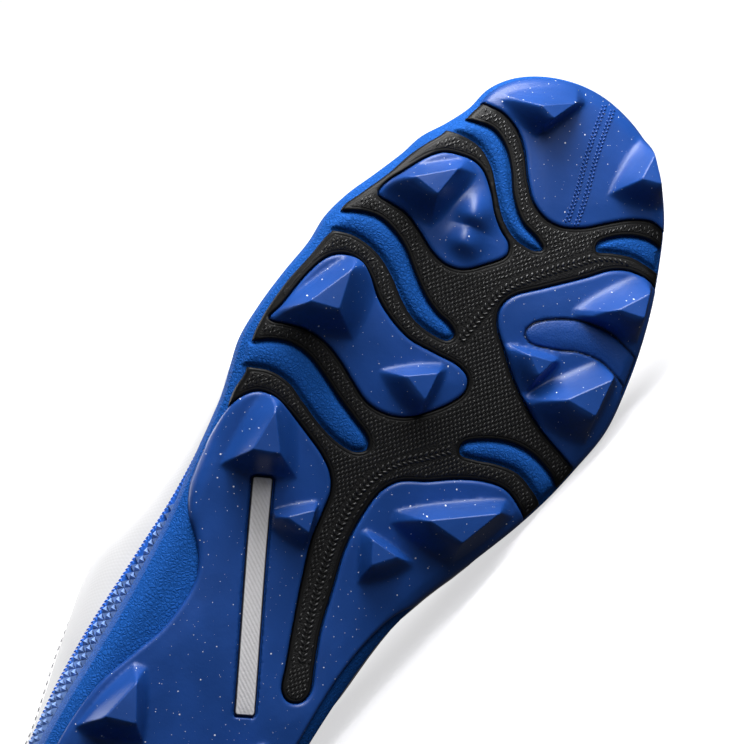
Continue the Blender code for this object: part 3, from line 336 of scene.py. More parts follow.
def pchip(table, column, x):
    """Smooth value of one column of a table, read at x, with no overshoot."""
    rows = np.array(table, float)
    t = rows[:, 0]
    v = rows[:, column]
    h = np.diff(t)
    s = np.diff(v) / h
    m = np.zeros(len(t))
    for i in range(1, len(t) - 1):
        if s[i - 1] * s[i] > 0:
            a = 2 * h[i] + h[i - 1]
            b = h[i] + 2 * h[i - 1]
            m[i] = (a + b) / (a / s[i - 1] + b / s[i])
    m[0] = s[0]
    m[-1] = s[-1]
    x = np.clip(np.asarray(x, float), t[0], t[-1])
    k = np.clip(np.searchsorted(t, x) - 1, 0, len(h) - 1)
    u = (x - t[k]) / h[k]
    return ((1 + 2 * u) * (1 - u) ** 2 * v[k] + u * (1 - u) ** 2 * h[k] * m[k]
            + u * u * (3 - 2 * u) * v[k + 1] + u * u * (u - 1) * h[k] * m[k + 1])


def smoothstep(lo, hi, x):
    """Soft step from 0 at lo to 1 at hi."""
    t = np.clip((np.asarray(x, float) - lo) / (hi - lo), 0, 1)
    return t * t * (3 - 2 * t)


def spline(points, closed):
    """Fine points of a smooth curve through the given points."""
    p = np.array(points, float)
    if closed:
        p = np.vstack([p[-1:], p, p[:2]])
    else:
        p = np.vstack([2 * p[0] - p[1], p, 2 * p[-1] - p[-2]])
    fine = []
    for a, b, c, d in zip(p, p[1:], p[2:], p[3:]):
        t0 = 0.0
        t1 = t0 + np.linalg.norm(b - a) ** 0.5
        t2 = t1 + np.linalg.norm(c - b) ** 0.5
        t3 = t2 + np.linalg.norm(d - c) ** 0.5
        for t in np.linspace(t1, t2, 12, endpoint=False):
            a1 = (t1 - t) / (t1 - t0) * a + (t - t0) / (t1 - t0) * b
            a2 = (t2 - t) / (t2 - t1) * b + (t - t1) / (t2 - t1) * c
            a3 = (t3 - t) / (t3 - t2) * c + (t - t2) / (t3 - t2) * d
            b1 = (t2 - t) / (t2 - t0) * a1 + (t - t0) / (t2 - t0) * a2
            b2 = (t3 - t) / (t3 - t1) * a2 + (t - t1) / (t3 - t1) * a3
            fine.append((t2 - t) / (t2 - t1) * b1 + (t - t1) / (t2 - t1) * b2)
    if not closed:
        fine.append(p[-2])
    return np.array(fine)


def unit(vectors):
    """Vectors of length 1, along the last axis."""
    return vectors / np.maximum(np.linalg.norm(vectors, axis=-1, keepdims=True), 1e-9)


def area(loop):
    """Area of a plan loop, positive if it runs anticlockwise."""
    nxt = np.roll(loop, -1, axis=0)
    return 0.5 * np.sum(loop[:, 0] * nxt[:, 1] - nxt[:, 0] * loop[:, 1])


def run_along(points):
    """Distance along a line at each of its points."""
    return np.concatenate([[0], np.cumsum(np.linalg.norm(np.diff(points, axis=0), axis=1))])


def read_along(at, run, values):
    """Values along a line, read at the given distances."""
    return np.stack([np.interp(at, run, values[:, k]) for k in range(values.shape[1])], -1)


def walk(points, spacing):
    """Points at even steps along an open line."""
    run = run_along(points)
    at = np.linspace(0, run[-1], max(2, int(round(run[-1] / spacing)) + 1))
    return read_along(at, run, points)


def way_and_side(line):
    """Direction of a plan line at each of its points, and the direction to its left."""
    way = unit(np.gradient(line, axis=0))
    return way, np.stack([-way[:, 1], way[:, 0]], -1)


def even_loop(fine, spacing):
    """Closed loop at even steps, anticlockwise."""
    loop = walk(np.vstack([fine, fine[:1]]), spacing)[:-1]
    return loop if area(loop) > 0 else loop[::-1]


def smooth_loop(points, spacing):
    """Closed smooth curve through the points, anticlockwise."""
    return even_loop(spline(points, True), spacing)


def outward(loop):
    """Unit normals of an anticlockwise loop, pointing out of it."""
    d = unit(np.roll(loop, -1, axis=0) - np.roll(loop, 1, axis=0))
    return np.stack([d[:, 1], -d[:, 0]], -1)


def grow(loop, by):
    """The loop moved out by a distance, or in by a negative one."""
    return loop + outward(loop) * by


def inside(points, loop):
    """Which plan points lie inside a closed loop."""
    found = np.zeros(len(points), bool)
    near = np.all((points > loop.min(axis=0)) & (points < loop.max(axis=0)), axis=1)
    rows = np.flatnonzero(near)
    b = np.roll(loop, -1, axis=0)
    rise = np.where(b[:, 1] == loop[:, 1], 1e-12, b[:, 1] - loop[:, 1])
    batch = 4000
    for start in range(0, len(rows), batch):
        part = rows[start:start + batch]
        x = points[part, 0][:, None]
        y = points[part, 1][:, None]
        crosses = (loop[None, :, 1] > y) != (b[None, :, 1] > y)
        at = loop[None, :, 0] + (y - loop[None, :, 1]) / rise * (b[:, 0] - loop[:, 0])
        found[part] = np.sum(crosses & (x < at), axis=1) % 2 == 1
    return found


def nearest_on(points, loop):
    """Distance to a closed loop of even steps, the nearest point on it and the way it runs there."""
    tree = KDTree(len(loop))
    for i, (x, y) in enumerate(loop.tolist()):
        tree.insert((x, y, 0.0), i)
    tree.balance()
    first = np.array([tree.find((x, y, 0.0))[1] for x, y in points.tolist()], int)
    way = np.roll(loop, -1, axis=0) - loop
    length = np.maximum(np.sum(way * way, axis=1), 1e-12)
    best = np.full(len(points), np.inf)
    foot = np.zeros((len(points), 2))
    run = np.zeros((len(points), 2))
    for step in (-2, -1, 0, 1):
        k = (first + step) % len(loop)
        rel = points - loop[k]
        t = np.clip(np.sum(rel * way[k], axis=1) / length[k], 0, 1)
        off = rel - t[:, None] * way[k]
        gap = np.sum(off * off, axis=1)
        nearer = gap < best
        best = np.where(nearer, gap, best)
        foot[nearer] = (points - off)[nearer]
        run[nearer] = way[k][nearer]
    return np.sqrt(best), foot, run


def depth(points, loop):
    """Distance inside the loop, negative outside it."""
    gap, _, _ = nearest_on(points, loop)
    return np.where(inside(points, loop), gap, -gap)


def draw_in(loop, edge, least):
    """The loop with the points near or past the edge drawn in to a distance inside it."""
    gap, foot, way = nearest_on(loop, edge)
    deep = np.where(inside(loop, edge), gap, -gap)
    normal = unit(np.stack([-way[:, 1], way[:, 0]], -1))
    return np.where((deep < least)[:, None], foot + normal * least, loop)


def hold_in(loop, edge, least, spacing):
    """The loop drawn in to a distance inside the edge, at even steps."""
    return even_loop(draw_in(loop, edge, least), spacing)


def straight_bar():
    """Outline of the straight inlay with small round corners."""
    a = np.array(INLAY_FROM)
    b = np.array(INLAY_TO)
    along = unit(b - a)
    side = np.array([-along[1], along[0]]) * INLAY_WIDE / 2
    loop = []
    for end, way in ((a, -1), (b, 1)):
        for s in (-1, -0.8, 0.8, 1) if way < 0 else (1, 0.8, -0.8, -1):
            back = 0.0 if abs(s) < 1 else 0.7
            loop.append(end + side * s - along * back * way)
    return even_loop(np.array(loop), 0.7)


SOLE = smooth_loop(SOLE_EDGE, 1.4)
WINDOWS = [smooth_loop(rib, 0.9) for rib in RIBS]
RIB_LOOPS = [draw_in(grow(w, -GAP), SOLE, 1.4) for w in WINDOWS]
POD_RIB_LOOP = hold_in(smooth_loop(POD_RIB, 1.0), SOLE, 1.4, 1.0)
PLATES = {name: hold_in(smooth_loop(edge, 1.0), SOLE, 0.35, 0.9) for name, edge in PLATE_EDGES.items()}
WEB_LOOP = hold_in(smooth_loop(WEB_EDGE, 1.5), SOLE, 0.7, 0.9)
INLAY = straight_bar()


def underside(p):
    """Height of the foam's underside, without its ribs."""
    lift = pchip(EDGE_LIFT, 1, depth(p, SOLE))
    return pchip(PROFILE, 1, p[:, 0]) + CROWN * (p[:, 1] / 50) ** 2 + lift


def top_of_foam(x):
    """Height of the foam's upper face."""
    return pchip(PROFILE, 2, x)


def stud_faces(row):
    """Corners of a stud's top, and each face's edge point, outward direction and run."""
    corners = np.array(row[1:4], float)
    middle = corners.mean(axis=0)
    faces = []
    for i in range(3):
        a = corners[i]
        b = corners[(i + 1) % 3]
        d = unit(b - a)
        n = np.array([d[1], -d[0]])
        if np.dot(n, a - middle) < 0:
            n = -n
        faces.append((a, n, row[4 + i]))
    return corners, faces


def stud_level(p, row, flare):
    """Level of plan points up a stud, 1 on its top and 0 past its skirt, and the heel side's share there."""
    corners, faces = stud_faces(row)
    heel = 1 + int(np.argmin([n[0] for _, n, _ in faces]))
    levels = [np.ones(len(p))] + [1 - ((p - a) @ n) / (run * flare) for a, n, run in faces]
    for i, corner in enumerate(corners):
        _, n1, run1 = faces[i - 1]
        _, n2, run2 = faces[i]
        reach = STUD_TOE_RUN if corner[0] == corners[:, 0].max() else STUD_CORNER_RUN
        past = (p - corner) @ unit(n1 + n2)
        levels.append(STUD_CORNER_START - past / ((run1 + run2) * reach * flare))
    levels = np.array(levels)
    levels[heel] = 1 + (levels[heel] - 1) / STUD_HEEL_RUN
    low = np.clip(levels.min(axis=0), 0, 1)
    soft = 0.014 + 0.7 * (1 - low) ** 1.15
    share = np.exp(-(levels - levels.min(axis=0)) / soft)
    level = levels.min(axis=0) - soft * np.log(share.sum(axis=0))
    weight = share[heel] / share.sum(axis=0)
    return np.clip(level + 0.01, 0, 1), weight


def stud_rise(p, plate_name, flare):
    """Height of the studs over their plate: sloping tops, scooped faces, a rounder one on the heel side."""
    rise = np.zeros(len(p))
    for row in STUDS:
        if row[0] == plate_name:
            level, heel = stud_level(p, row, flare)
            corners, faces = stud_faces(row)
            a, n, _ = min(faces, key=lambda face: face[1][0])
            fall = np.clip(((a - p) @ n) / max((a - c) @ n for c in corners), 0, 1.2)
            scoop = level ** 1.75
            round_face = 0.2 * level + 0.8 * level * level * (3 - 2 * level)
            share = 0.9 * heel
            shape = scoop * (1 - share) + round_face * share
            rise = np.maximum(rise, row[7] * (1 - STUD_FALL * fall) * shape)
    if plate_name == "outer_front_pod":
        for x, y, height, reach in NUB:
            along = np.where(p[:, 0] < x, 0.8, 1.25) * reach
            across = np.where(p[:, 1] < y, 0.85, 1.2) * reach
            gap = np.sqrt(((p[:, 0] - x) / along) ** 2 + ((p[:, 1] - y) / across) ** 2)
            rise = np.maximum(rise, height * np.exp(-gap ** 2.2))
    return rise


def ring_points(loop, by):
    """Points of a loop grown by a distance, without those that come too near the loop again."""
    ring = grow(loop, by)
    gap, _, _ = nearest_on(ring, loop)
    return ring[gap > abs(by) * 0.93]


def plan_box(loop):
    """Least and most x, least and most y of a plan loop."""
    return loop[:, 0].min(), loop[:, 0].max(), loop[:, 1].min(), loop[:, 1].max()


def fill(spacing, box, keep):
    """Even inner points of a plan box that pass a test."""
    xs = np.arange(box[0], box[1], spacing)
    ys = np.arange(box[2], box[3], spacing * 0.87)
    gx, gy = np.meshgrid(xs, ys)
    gx[1::2] += spacing / 2
    pts = np.stack([gx.ravel(), gy.ravel()], -1)
    return pts[keep(pts)]


def triangulate(outers, holes, lines, loose):
    """Triangles of a plan region: inside any outer loop, outside every hole, creased along open lines."""
    points = []
    edges = []
    for loop in list(outers) + list(holes):
        start = len(points)
        points += [Vector(p) for p in loop]
        edges += [(start + i, start + (i + 1) % len(loop)) for i in range(len(loop))]
    for line in lines:
        start = len(points)
        points += [Vector(p) for p in line]
        edges += [(start + i, start + i + 1) for i in range(len(line) - 1)]
    points += [Vector(p) for p in loose]
    verts, _, faces, _, _, _ = delaunay_2d_cdt(points, edges, [], 0, 1e-4)
    flat = np.array([(v.x, v.y) for v in verts])
    tris = np.array([f for f in faces if len(f) == 3])
    middle = flat[tris].mean(axis=1)
    keep = np.zeros(len(tris), bool)
    for loop in outers:
        keep |= inside(middle, loop)
    for loop in holes:
        keep &= ~inside(middle, loop)
    a, b, c = (flat[tris[:, k]] for k in range(3))
    size = (b[:, 0] - a[:, 0]) * (c[:, 1] - a[:, 1]) - (c[:, 0] - a[:, 0]) * (b[:, 1] - a[:, 1])
    tris = np.where((size < 0)[:, None], tris[:, ::-1], tris)
    tris = tris[keep & (np.abs(size) > 1e-7)]
    used = np.unique(tris)
    index = np.full(len(flat), -1)
    index[used] = np.arange(len(used))
    return flat[used], index[tris]


def rim_edges(faces):
    """Directed edges that only one face uses."""
    pairs = {}
    for face in faces:
        for pair in zip(face, face[1:] + face[:1]):
            pairs[pair] = True
    return [pair for pair in pairs if pair[::-1] not in pairs]


def tube_faces(rings, around, first=0):
    """Faces of a closed tube of rings of points, with a cap at each end."""
    faces = []
    for i in range(rings - 1):
        for k in range(around):
            a = first + i * around + k
            b = first + i * around + (k + 1) % around
            faces.append((a, b, b + around, a + around))
    faces.append(tuple(range(first, first + around))[::-1])
    faces.append(tuple(range(first + (rings - 1) * around, first + rings * around)))
    return faces


def thin_solid(outer, outer_tris, outer_z, inner, inner_tris, inner_z):
    """Closed solid between a fine lower sheet and a coarse upper sheet with the same outline."""
    n = len(outer)
    verts = np.vstack([np.column_stack([outer, outer_z]), np.column_stack([inner, inner_z])])
    rim = rim_edges(outer_tris.tolist())
    border = np.array(sorted({i for pair in rim_edges(inner_tris.tolist()) for i in pair}))
    match = {}
    for a, _ in rim:
        match[a] = n + int(border[np.argmin(np.sum((inner[border] - outer[a]) ** 2, axis=1))])
    faces = [(t[2], t[1], t[0]) for t in outer_tris.tolist()]
    faces += [(t[0] + n, t[1] + n, t[2] + n) for t in inner_tris.tolist()]
    for a, b in rim:
        if match[a] == match[b]:
            faces.append((a, b, match[a]))
        else:
            faces.append((a, b, match[b], match[a]))
    return verts, faces


def placement():
    """Turn and shift from the shoe's own frame to where it lies, in millimetres."""
    down = Vector((math.tan(math.radians(TURN)), 1.0, -math.tan(math.radians(LEAN)))).normalized()
    along = (Vector((1, 0, 0)) - down * down.x).normalized()
    across = (-down).cross(along)
    turn = Matrix((along, across, -down)).to_4x4()
    turn.translation = Vector(ZERO_AT)
    return turn


PLACE = placement()
TURNED = np.array(PLACE.to_3x3())


def lay(points):
    """Points of the shoe's own frame, laid down, in metres."""
    return (np.asarray(points, float) @ TURNED.T + np.array(ZERO_AT)) * MM


def stand(points):
    """Laid points back in the shoe's own frame, in millimetres."""
    return (np.asarray(points, float) / MM - np.array(ZERO_AT)) @ TURNED


def note(mesh, name, values):
    """Stores one number or vector for each point of a mesh."""
    values = np.asarray(values, float)
    kind = "FLOAT" if values.ndim == 1 else "FLOAT_VECTOR"
    layer = mesh.attributes.new(name, kind, "POINT")
    layer.data.foreach_set("value" if values.ndim == 1 else "vector", values.ravel())


def finish_piece(obj, nodes):
    """Flattens what the floor presses, keeps shoe coordinates for materials, attaches the piece to the body
    and hides the imported parts it replaces.
    """
    co = np.zeros(len(obj.data.vertices) * 3)
    obj.data.vertices.foreach_get("co", co)
    co[2::3] = np.maximum(co[2::3], 0.0)
    obj.data.vertices.foreach_set("co", co)
    note(obj.data, "shoe", stand(co.reshape(-1, 3)))
    obj.data.polygons.foreach_set("use_smooth", [True] * len(obj.data.polygons))
    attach(obj, BODY)
    if nodes:
        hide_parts(*nodes)
    return obj


def add_piece(name, verts, faces, materials, nodes=(), notes=None, face_materials=None):
    """A finished piece from points in the shoe's own frame."""
    mesh = bpy.data.meshes.new(name)
    mesh.from_pydata(lay(verts).tolist(), [], [tuple(map(int, f)) for f in faces])
    for material in materials:
        mesh.materials.append(material)
    if face_materials is not None:
        mesh.polygons.foreach_set("material_index", face_materials)
    for key, values in (notes or {}).items():
        note(mesh, key, values)
    mesh.update()
    obj = bpy.data.objects.new(name, mesh)
    bpy.context.scene.collection.objects.link(obj)
    return finish_piece(obj, nodes)


class Value:
    """A socket of a material; arithmetic on it adds Math nodes."""

    def __init__(self, finish, socket):
        self.finish = finish
        self.socket = socket

    def math(self, operation, a, b=0.0):
        return self.finish.node("ShaderNodeMath", {"operation": operation}, {0: a, 1: b})

    def __add__(self, other):
        return self.math("ADD", self, other)

    def __radd__(self, other):
        return self.math("ADD", other, self)

    def __sub__(self, other):
        return self.math("SUBTRACT", self, other)

    def __rsub__(self, other):
        return self.math("SUBTRACT", other, self)

    def __mul__(self, other):
        return self.math("MULTIPLY", self, other)

    def __rmul__(self, other):
        return self.math("MULTIPLY", other, self)

    def __pow__(self, other):
        return self.math("POWER", self, other)

    def __rpow__(self, other):
        return self.math("POWER", other, self)

    def step(self, lo, hi):
        """Soft step from 0 at lo to 1 at hi."""
        return self.finish.node("ShaderNodeMapRange", {"interpolation_type": "SMOOTHSTEP"},
                                {0: self, 1: lo, 2: hi, 3: 0.0, 4: 1.0})

    def sine(self):
        return self.math("SINE", self)

    def most(self, other):
        return self.math("MAXIMUM", self, other)


class Finish:
    """A procedural material built from node expressions."""

    def __init__(self, name):
        self.material = bpy.data.materials.new(name)
        self.material.use_nodes = True
        self.tree = self.material.node_tree
        self.shader = self.tree.nodes["Principled BSDF"]

    def node(self, kind, settings=None, sockets=None, out=0):
        """Any node: its settings first, then socket values or links. Gives one output, or all for None."""
        made = self.tree.nodes.new(kind)
        for key, value in (settings or {}).items():
            setattr(made, key, value)
        for key, value in (sockets or {}).items():
            self.put(made.inputs[key], value)
        values = [Value(self, socket) for socket in made.outputs]
        return values if out is None else values[out]

    def put(self, socket, value):
        """Links a value to a socket, or sets a plain one."""
        if isinstance(value, Value):
            self.tree.links.new(value.socket, socket)
        else:
            socket.default_value = value

    def principled(self, **values):
        """Sets the surface's sockets, named in lower case, and gives the material."""
        for key, value in values.items():
            if key in ("base_color", "emission_color"):
                value = value if isinstance(value, Value) else (*value, 1.0)
            label = key.replace("_", " ").title().replace("Ior", "IOR")
            self.put(self.shader.inputs[label], value)
        return self.material

    def place(self):
        """Place on the shoe, in millimetres of its own frame."""
        return self.node("ShaderNodeAttribute", {"attribute_name": "shoe"}, out=1)

    def noted(self, name):
        """A number noted on the piece's points."""
        return self.node("ShaderNodeAttribute", {"attribute_name": name}, out=2)

    def parts(self, vector):
        """The three numbers of a vector."""
        return self.node("ShaderNodeSeparateXYZ", {}, {0: vector}, out=None)

    def noise(self, vector, scale, detail=2.0):
        return self.node("ShaderNodeTexNoise", {}, {"Vector": vector, "Scale": scale, "Detail": detail})

    def mix(self, factor, a, b):
        a = a if isinstance(a, Value) else (*a, 1.0)
        b = b if isinstance(b, Value) else (*b, 1.0)
        return self.node("ShaderNodeMix", {"data_type": "RGBA"}, {0: factor, 6: a, 7: b}, out=2)

    def bump(self, height, distance):
        """Normal of a surface raised by up to a distance in metres."""
        return self.node("ShaderNodeBump", {}, {"Height": height, "Distance": distance, "Strength": 1.0})


def shade(colour, by):
    """A lighter or darker colour."""
    return tuple(min(1.0, c * by) for c in colour)


def plate_finish(colours):
    """Satin hard plastic, royal blue with small white flecks."""
    f = Finish("plate")
    place = f.place()
    cloud = f.noise(place, 0.06, 3.0)
    fine = f.noise(place, 1.6, 3.0)
    base = f.mix(cloud.step(0.35, 0.7), shade(colours.plate, 0.9), shade(colours.plate, 1.1))
    # Painted shade: the groove round the pod's rib is darkened almost to black
    base = f.mix(f.noted("groove_shade"), base, shade(colours.plate, 0.12))
    masks = []
    for scale, least, most, share in ((0.17, 0.012, 0.045, 0.42), (0.36, 0.018, 0.05, 0.55)):
        cells, draw, *_ = f.node("ShaderNodeTexVoronoi", {"voronoi_dimensions": "2D"},
                                 {"Vector": place, "Scale": scale}, out=None)
        red, green, _ = f.parts(draw)
        size = least + (most - least) * red ** 3.0
        wide = cells + (fine - 0.5) * 0.03
        masks.append((size - wide).step(-0.008, 0.008) * green.step(share, share + 0.01))
    rib = f.noted("rib")
    fleck = masks[0].most(masks[1]) * (1 - rib)
    height = f.noise(place, 0.5, 2.0) * 0.6 + fine * (0.3 + rib * 1.6) + fleck * 0.3
    return f.principled(
        base_color=f.mix(fleck, base, (0.78, 0.8, 0.9)),
        roughness=0.34 + 0.14 * cloud + fleck * 0.15,
        coat_weight=0.1,
        coat_roughness=0.2,
        specular_ior_level=0.34,
        normal=f.bump(height, 0.00007),
    )


def foam_finish(colours):
    """Moulded foam skin with a leather-like grain."""
    f = Finish("foam")
    place = f.place()
    warp = f.node("ShaderNodeTexNoise", {}, {"Vector": place, "Scale": 0.55, "Detail": 2.0}, out=1)
    spread = f.node("ShaderNodeVectorMath", {"operation": "MULTIPLY_ADD"},
                    {0: warp, 1: (1.6, 1.6, 1.6), 2: place})
    cells = f.node("ShaderNodeTexVoronoi", {"feature": "DISTANCE_TO_EDGE"}, {"Vector": spread, "Scale": 0.85})
    small = f.node("ShaderNodeTexVoronoi", {"feature": "DISTANCE_TO_EDGE"}, {"Vector": spread, "Scale": 1.7})
    pebble = cells.step(0.02, 0.3)
    height = pebble * 0.75 + small.step(0.0, 0.3) * 0.25
    tone = f.noise(place, 0.05, 2.0).step(0.3, 0.7)
    lit = f.mix(tone, shade(colours.foam, 0.92), shade(colours.foam, 1.1))
    # The base colour is darker in the low cracks between the pebbles: painted shade
    return f.principled(
        base_color=f.mix(pebble, shade(colours.foam, 0.84), lit),
        roughness=0.78 - 0.12 * pebble,
        specular_ior_level=0.06,
        normal=f.bump(height, 0.00015),
    )


def web_finish(colours):
    """Black rubber, rough where it is woven and smooth on its bead, whose darker colour is painted shade
    beside the plates and ribs.
    """
    f = Finish("web")
    place = f.place()
    bead = f.noted("bead")
    fine = f.noise(place, 2.2, 3.0)
    # The bead is painted darker: painted shade in the channel beside the plates and ribs
    return f.principled(
        base_color=f.mix(bead, colours.web, shade(colours.web, 0.3)),
        roughness=0.52 + 0.1 * fine - bead * 0.06,
        specular_ior_level=0.26,
        normal=f.bump(fine * (1 - bead), 0.00022),
    )


def knurl_finish(colours):
    """The same rubber on the raised bars, worn a little shinier, lighter in random worn patches and with a
    painted highlight on the web's arms.
    """
    f = Finish("web_knurl")
    place = f.place()
    x, y, _ = f.parts(place)
    worn = f.noise(place, 0.35, 3.0).step(0.4, 0.7)
    # Painted highlight: the bars are lighter on the web's arms, where they catch the light; the random
    # patches are wear
    arms_highlight = x.step(190, 235).most((0 - y).step(5, 18))
    return f.principled(
        base_color=f.mix(worn * (0.5 + arms_highlight), shade(colours.web, 1.1), shade(colours.web, 2.6)),
        roughness=0.42 - 0.1 * worn - 0.08 * arms_highlight,
        specular_ior_level=0.6,
        normal=f.bump(f.noise(place, 4.0, 2.0), 0.00005),
    )


def inlay_finish(colours):
    """Pale plastic with fine slanting ridges and a black border."""
    f = Finish("inlay")
    place = f.place()
    x, y, _ = f.parts(place)
    ridge = ((x * 1.5 + y * 0.9) * 3.4).sine() * 0.5 + 0.5
    border = f.noted("border")
    grain = f.noise(place, 1.3, 3.0)
    pale = f.mix(ridge * 0.25 + grain * 0.75, shade(colours.inlay, 0.84), shade(colours.inlay, 1.14))
    return f.principled(
        base_color=f.mix(border, pale, (0.006, 0.008, 0.02)),
        roughness=0.6 - 0.1 * border,
        specular_ior_level=0.4,
        normal=f.bump((ridge * 0.4 + grain * 0.6) * (1 - border), 0.00014),
    )


def band_finish(colours, name, pale):
    """Satin blue film, more or less pale; the paler copy on the facets is a painted highlight of their lit
    faces.
    """
    f = Finish(name)
    place = f.place()
    tone = f.noise(place, 0.3, 2.0).step(0.3, 0.7)
    tint = tuple(c + (lit - c) * pale for c, lit in zip(colours.band, (0.6, 0.82, 1.0)))
    return f.principled(
        base_color=f.mix(tone, shade(tint, 0.8), shade(tint, 1.1)),
        roughness=0.42 + 0.12 * tone,
        specular_ior_level=0.35,
        normal=f.bump(f.noise(place, 1.8, 2.0), 0.00004),
    )


def textile_finish(colours, name, light=1.0):
    """White coated textile with a fine even weave under the coat."""
    f = Finish(name)
    place = f.place()
    x, y, z = f.parts(place)
    weave = ((x * 5.2).sine() * ((y + z) * 5.2).sine()) * 0.5 + 0.5
    grain = f.noise(place, 0.9, 3.0)
    tone = f.noise(place, 0.035, 2.0).step(0.3, 0.7)
    return f.principled(
        base_color=f.mix(tone, shade(colours.textile, 0.95 * light), shade(colours.textile, 1.02 * light)),
        roughness=0.62 + 0.12 * grain,
        specular_ior_level=0.35,
        sheen_weight=0.15,
        normal=f.bump(weave * 0.5 + grain * 0.5, 0.00004),
    )


def lining_finish(colours, name, light=1.0):
    """Soft knitted lining."""
    f = Finish(name)
    place = f.place()
    x, y, z = f.parts(place)
    knit = ((x * 3.6).sine() * ((y + z) * 3.6).sine()) * 0.5 + 0.5
    fuzz = f.noise(place, 1.2, 4.0)
    return f.principled(
        base_color=f.mix(knit, shade(colours.lining, 0.7 * light), shade(colours.lining, 1.3 * light)),
        roughness=0.85 + 0.1 * fuzz,
        specular_ior_level=0.2,
        sheen_weight=0.3,
        normal=f.bump(knit * 0.6 + fuzz * 0.4, 0.0002),
    )


def lace_finish(colours):
    """Flat woven lace: slanting yarns in two directions."""
    f = Finish("cord")
    place = f.place()
    x, y, z = f.parts(place)
    yarn = ((x * 4.2 + y * 4.2 + z * 2).sine() * (x * 4.2 - y * 4.2 + z * 2).sine()) * 0.5 + 0.5
    fuzz = f.noise(place, 1.5, 3.0)
    return f.principled(
        base_color=f.mix(yarn, shade(colours.textile, 0.8), shade(colours.textile, 1.03)),
        roughness=0.8 + 0.1 * fuzz,
        specular_ior_level=0.25,
        sheen_weight=0.25,
        normal=f.bump(yarn * 0.8 + fuzz * 0.2, 0.00025),
    )


def thread_finish(name, colour):
    """Twisted sewing thread."""
    f = Finish(name)
    x, y, z = f.parts(f.place())
    twist = ((x + y * 0.7 + z * 0.5) * 9.0).sine() * 0.5 + 0.5
    return f.principled(
        base_color=f.mix(twist, shade(colour, 0.8), colour),
        roughness=0.6 + 0.15 * twist,
        specular_ior_level=0.35,
        normal=f.bump(twist, 0.00008),
    )


def eyelet_finish():
    """Grey moulded rings round the lace holes."""
    f = Finish("eyelet")
    grain = f.noise(f.place(), 1.5, 3.0)
    return f.principled(
        base_color=f.mix(grain, (0.5, 0.5, 0.52), (0.62, 0.62, 0.64)),
        roughness=0.4 + 0.15 * grain,
        specular_ior_level=0.5,
        normal=f.bump(grain, 0.00005),
    )


def floor_finish(colour):
    """Plain pale floor that glows, faintly near the shoe and white far away: painted light."""
    f = Finish("floor")
    spot = f.node("ShaderNodeTexCoord", out=3)
    grain = f.noise(spot, 3.0, 2.0)
    far = f.node("ShaderNodeVectorMath", {"operation": "LENGTH"}, {0: spot}, out=1).step(0.2, 1.3)
    # Painted light: the floor glows, from 0.62 near the shoe up to white far away where the lamps fall off
    return f.principled(
        base_color=f.mix(grain, shade(colour, 0.985), colour),
        roughness=0.75 + 0.1 * grain,
        specular_ior_level=0.2,
        emission_color=f.mix(far, (0.62, 0.62, 0.63), (1.0, 1.0, 1.0)),
        emission_strength=1.0,
    )


def scatter_tree(name, shape):
    """Geometry Nodes that set one small shape on every point, turned and stretched by the point's notes."""
    tree = bpy.data.node_groups.new(name, "GeometryNodeTree")
    face = tree.interface
    face.new_socket("Geometry", in_out="INPUT", socket_type="NodeSocketGeometry")
    for label in ("Length", "Width", "Height"):
        face.new_socket(label, in_out="INPUT", socket_type="NodeSocketFloat")
    face.new_socket("Material", in_out="INPUT", socket_type="NodeSocketMaterial")
    face.new_socket("Geometry", in_out="OUTPUT", socket_type="NodeSocketGeometry")

    def add(kind, settings=None, sockets=None):
        node = tree.nodes.new(kind)
        for key, value in (settings or {}).items():
            setattr(node, key, value)
        for key, value in (sockets or {}).items():
            if isinstance(value, bpy.types.NodeSocket):
                tree.links.new(value, node.inputs[key])
            else:
                node.inputs[key].default_value = value
        return node

    given = add("NodeGroupInput").outputs
    if shape == "bead":
        piece = add("GeometryNodeMeshUVSphere", {}, {"Segments": 6, "Rings": 4, "Radius": 0.5}).outputs[0]
    elif shape == "facet":
        cone = {"Vertices": 3, "Side Segments": 1, "Radius Top": 0.0, "Radius Bottom": 1.0, "Depth": 1.0}
        piece = add("GeometryNodeMeshCone", {"fill_type": "NGON"}, cone).outputs[0]
    else:
        path = add("GeometryNodeCurvePrimitiveCircle", {}, {"Resolution": 24, "Radius": 0.5}).outputs[0]
        section = add("GeometryNodeCurvePrimitiveCircle", {}, {"Resolution": 10, "Radius": 0.14}).outputs[0]
        piece = add("GeometryNodeCurveToMesh", {}, {"Curve": path, "Profile Curve": section}).outputs[0]
    size = add("ShaderNodeCombineXYZ", {}, {0: given["Length"], 1: given["Width"], 2: given["Height"]})
    sized = add("GeometryNodeTransform", {}, {"Geometry": piece, "Scale": size.outputs[0]})
    turn = add("GeometryNodeInputNamedAttribute", {"data_type": "FLOAT_VECTOR"}, {"Name": "turn"})
    turned = add("FunctionNodeEulerToRotation", {}, {0: turn.outputs[0]})
    stretch = add("GeometryNodeInputNamedAttribute", {"data_type": "FLOAT_VECTOR"}, {"Name": "stretch"})
    placed = add("GeometryNodeInstanceOnPoints", {}, {
        "Points": given["Geometry"], "Instance": sized.outputs[0],
        "Rotation": turned.outputs[0], "Scale": stretch.outputs[0],
    })
    real = add("GeometryNodeRealizeInstances", {}, {0: placed.outputs[0]})
    painted = add("GeometryNodeSetMaterial", {}, {"Geometry": real.outputs[0], "Material": given["Material"]})
    add("NodeGroupOutput", {}, {0: painted.outputs[0]})
    return tree


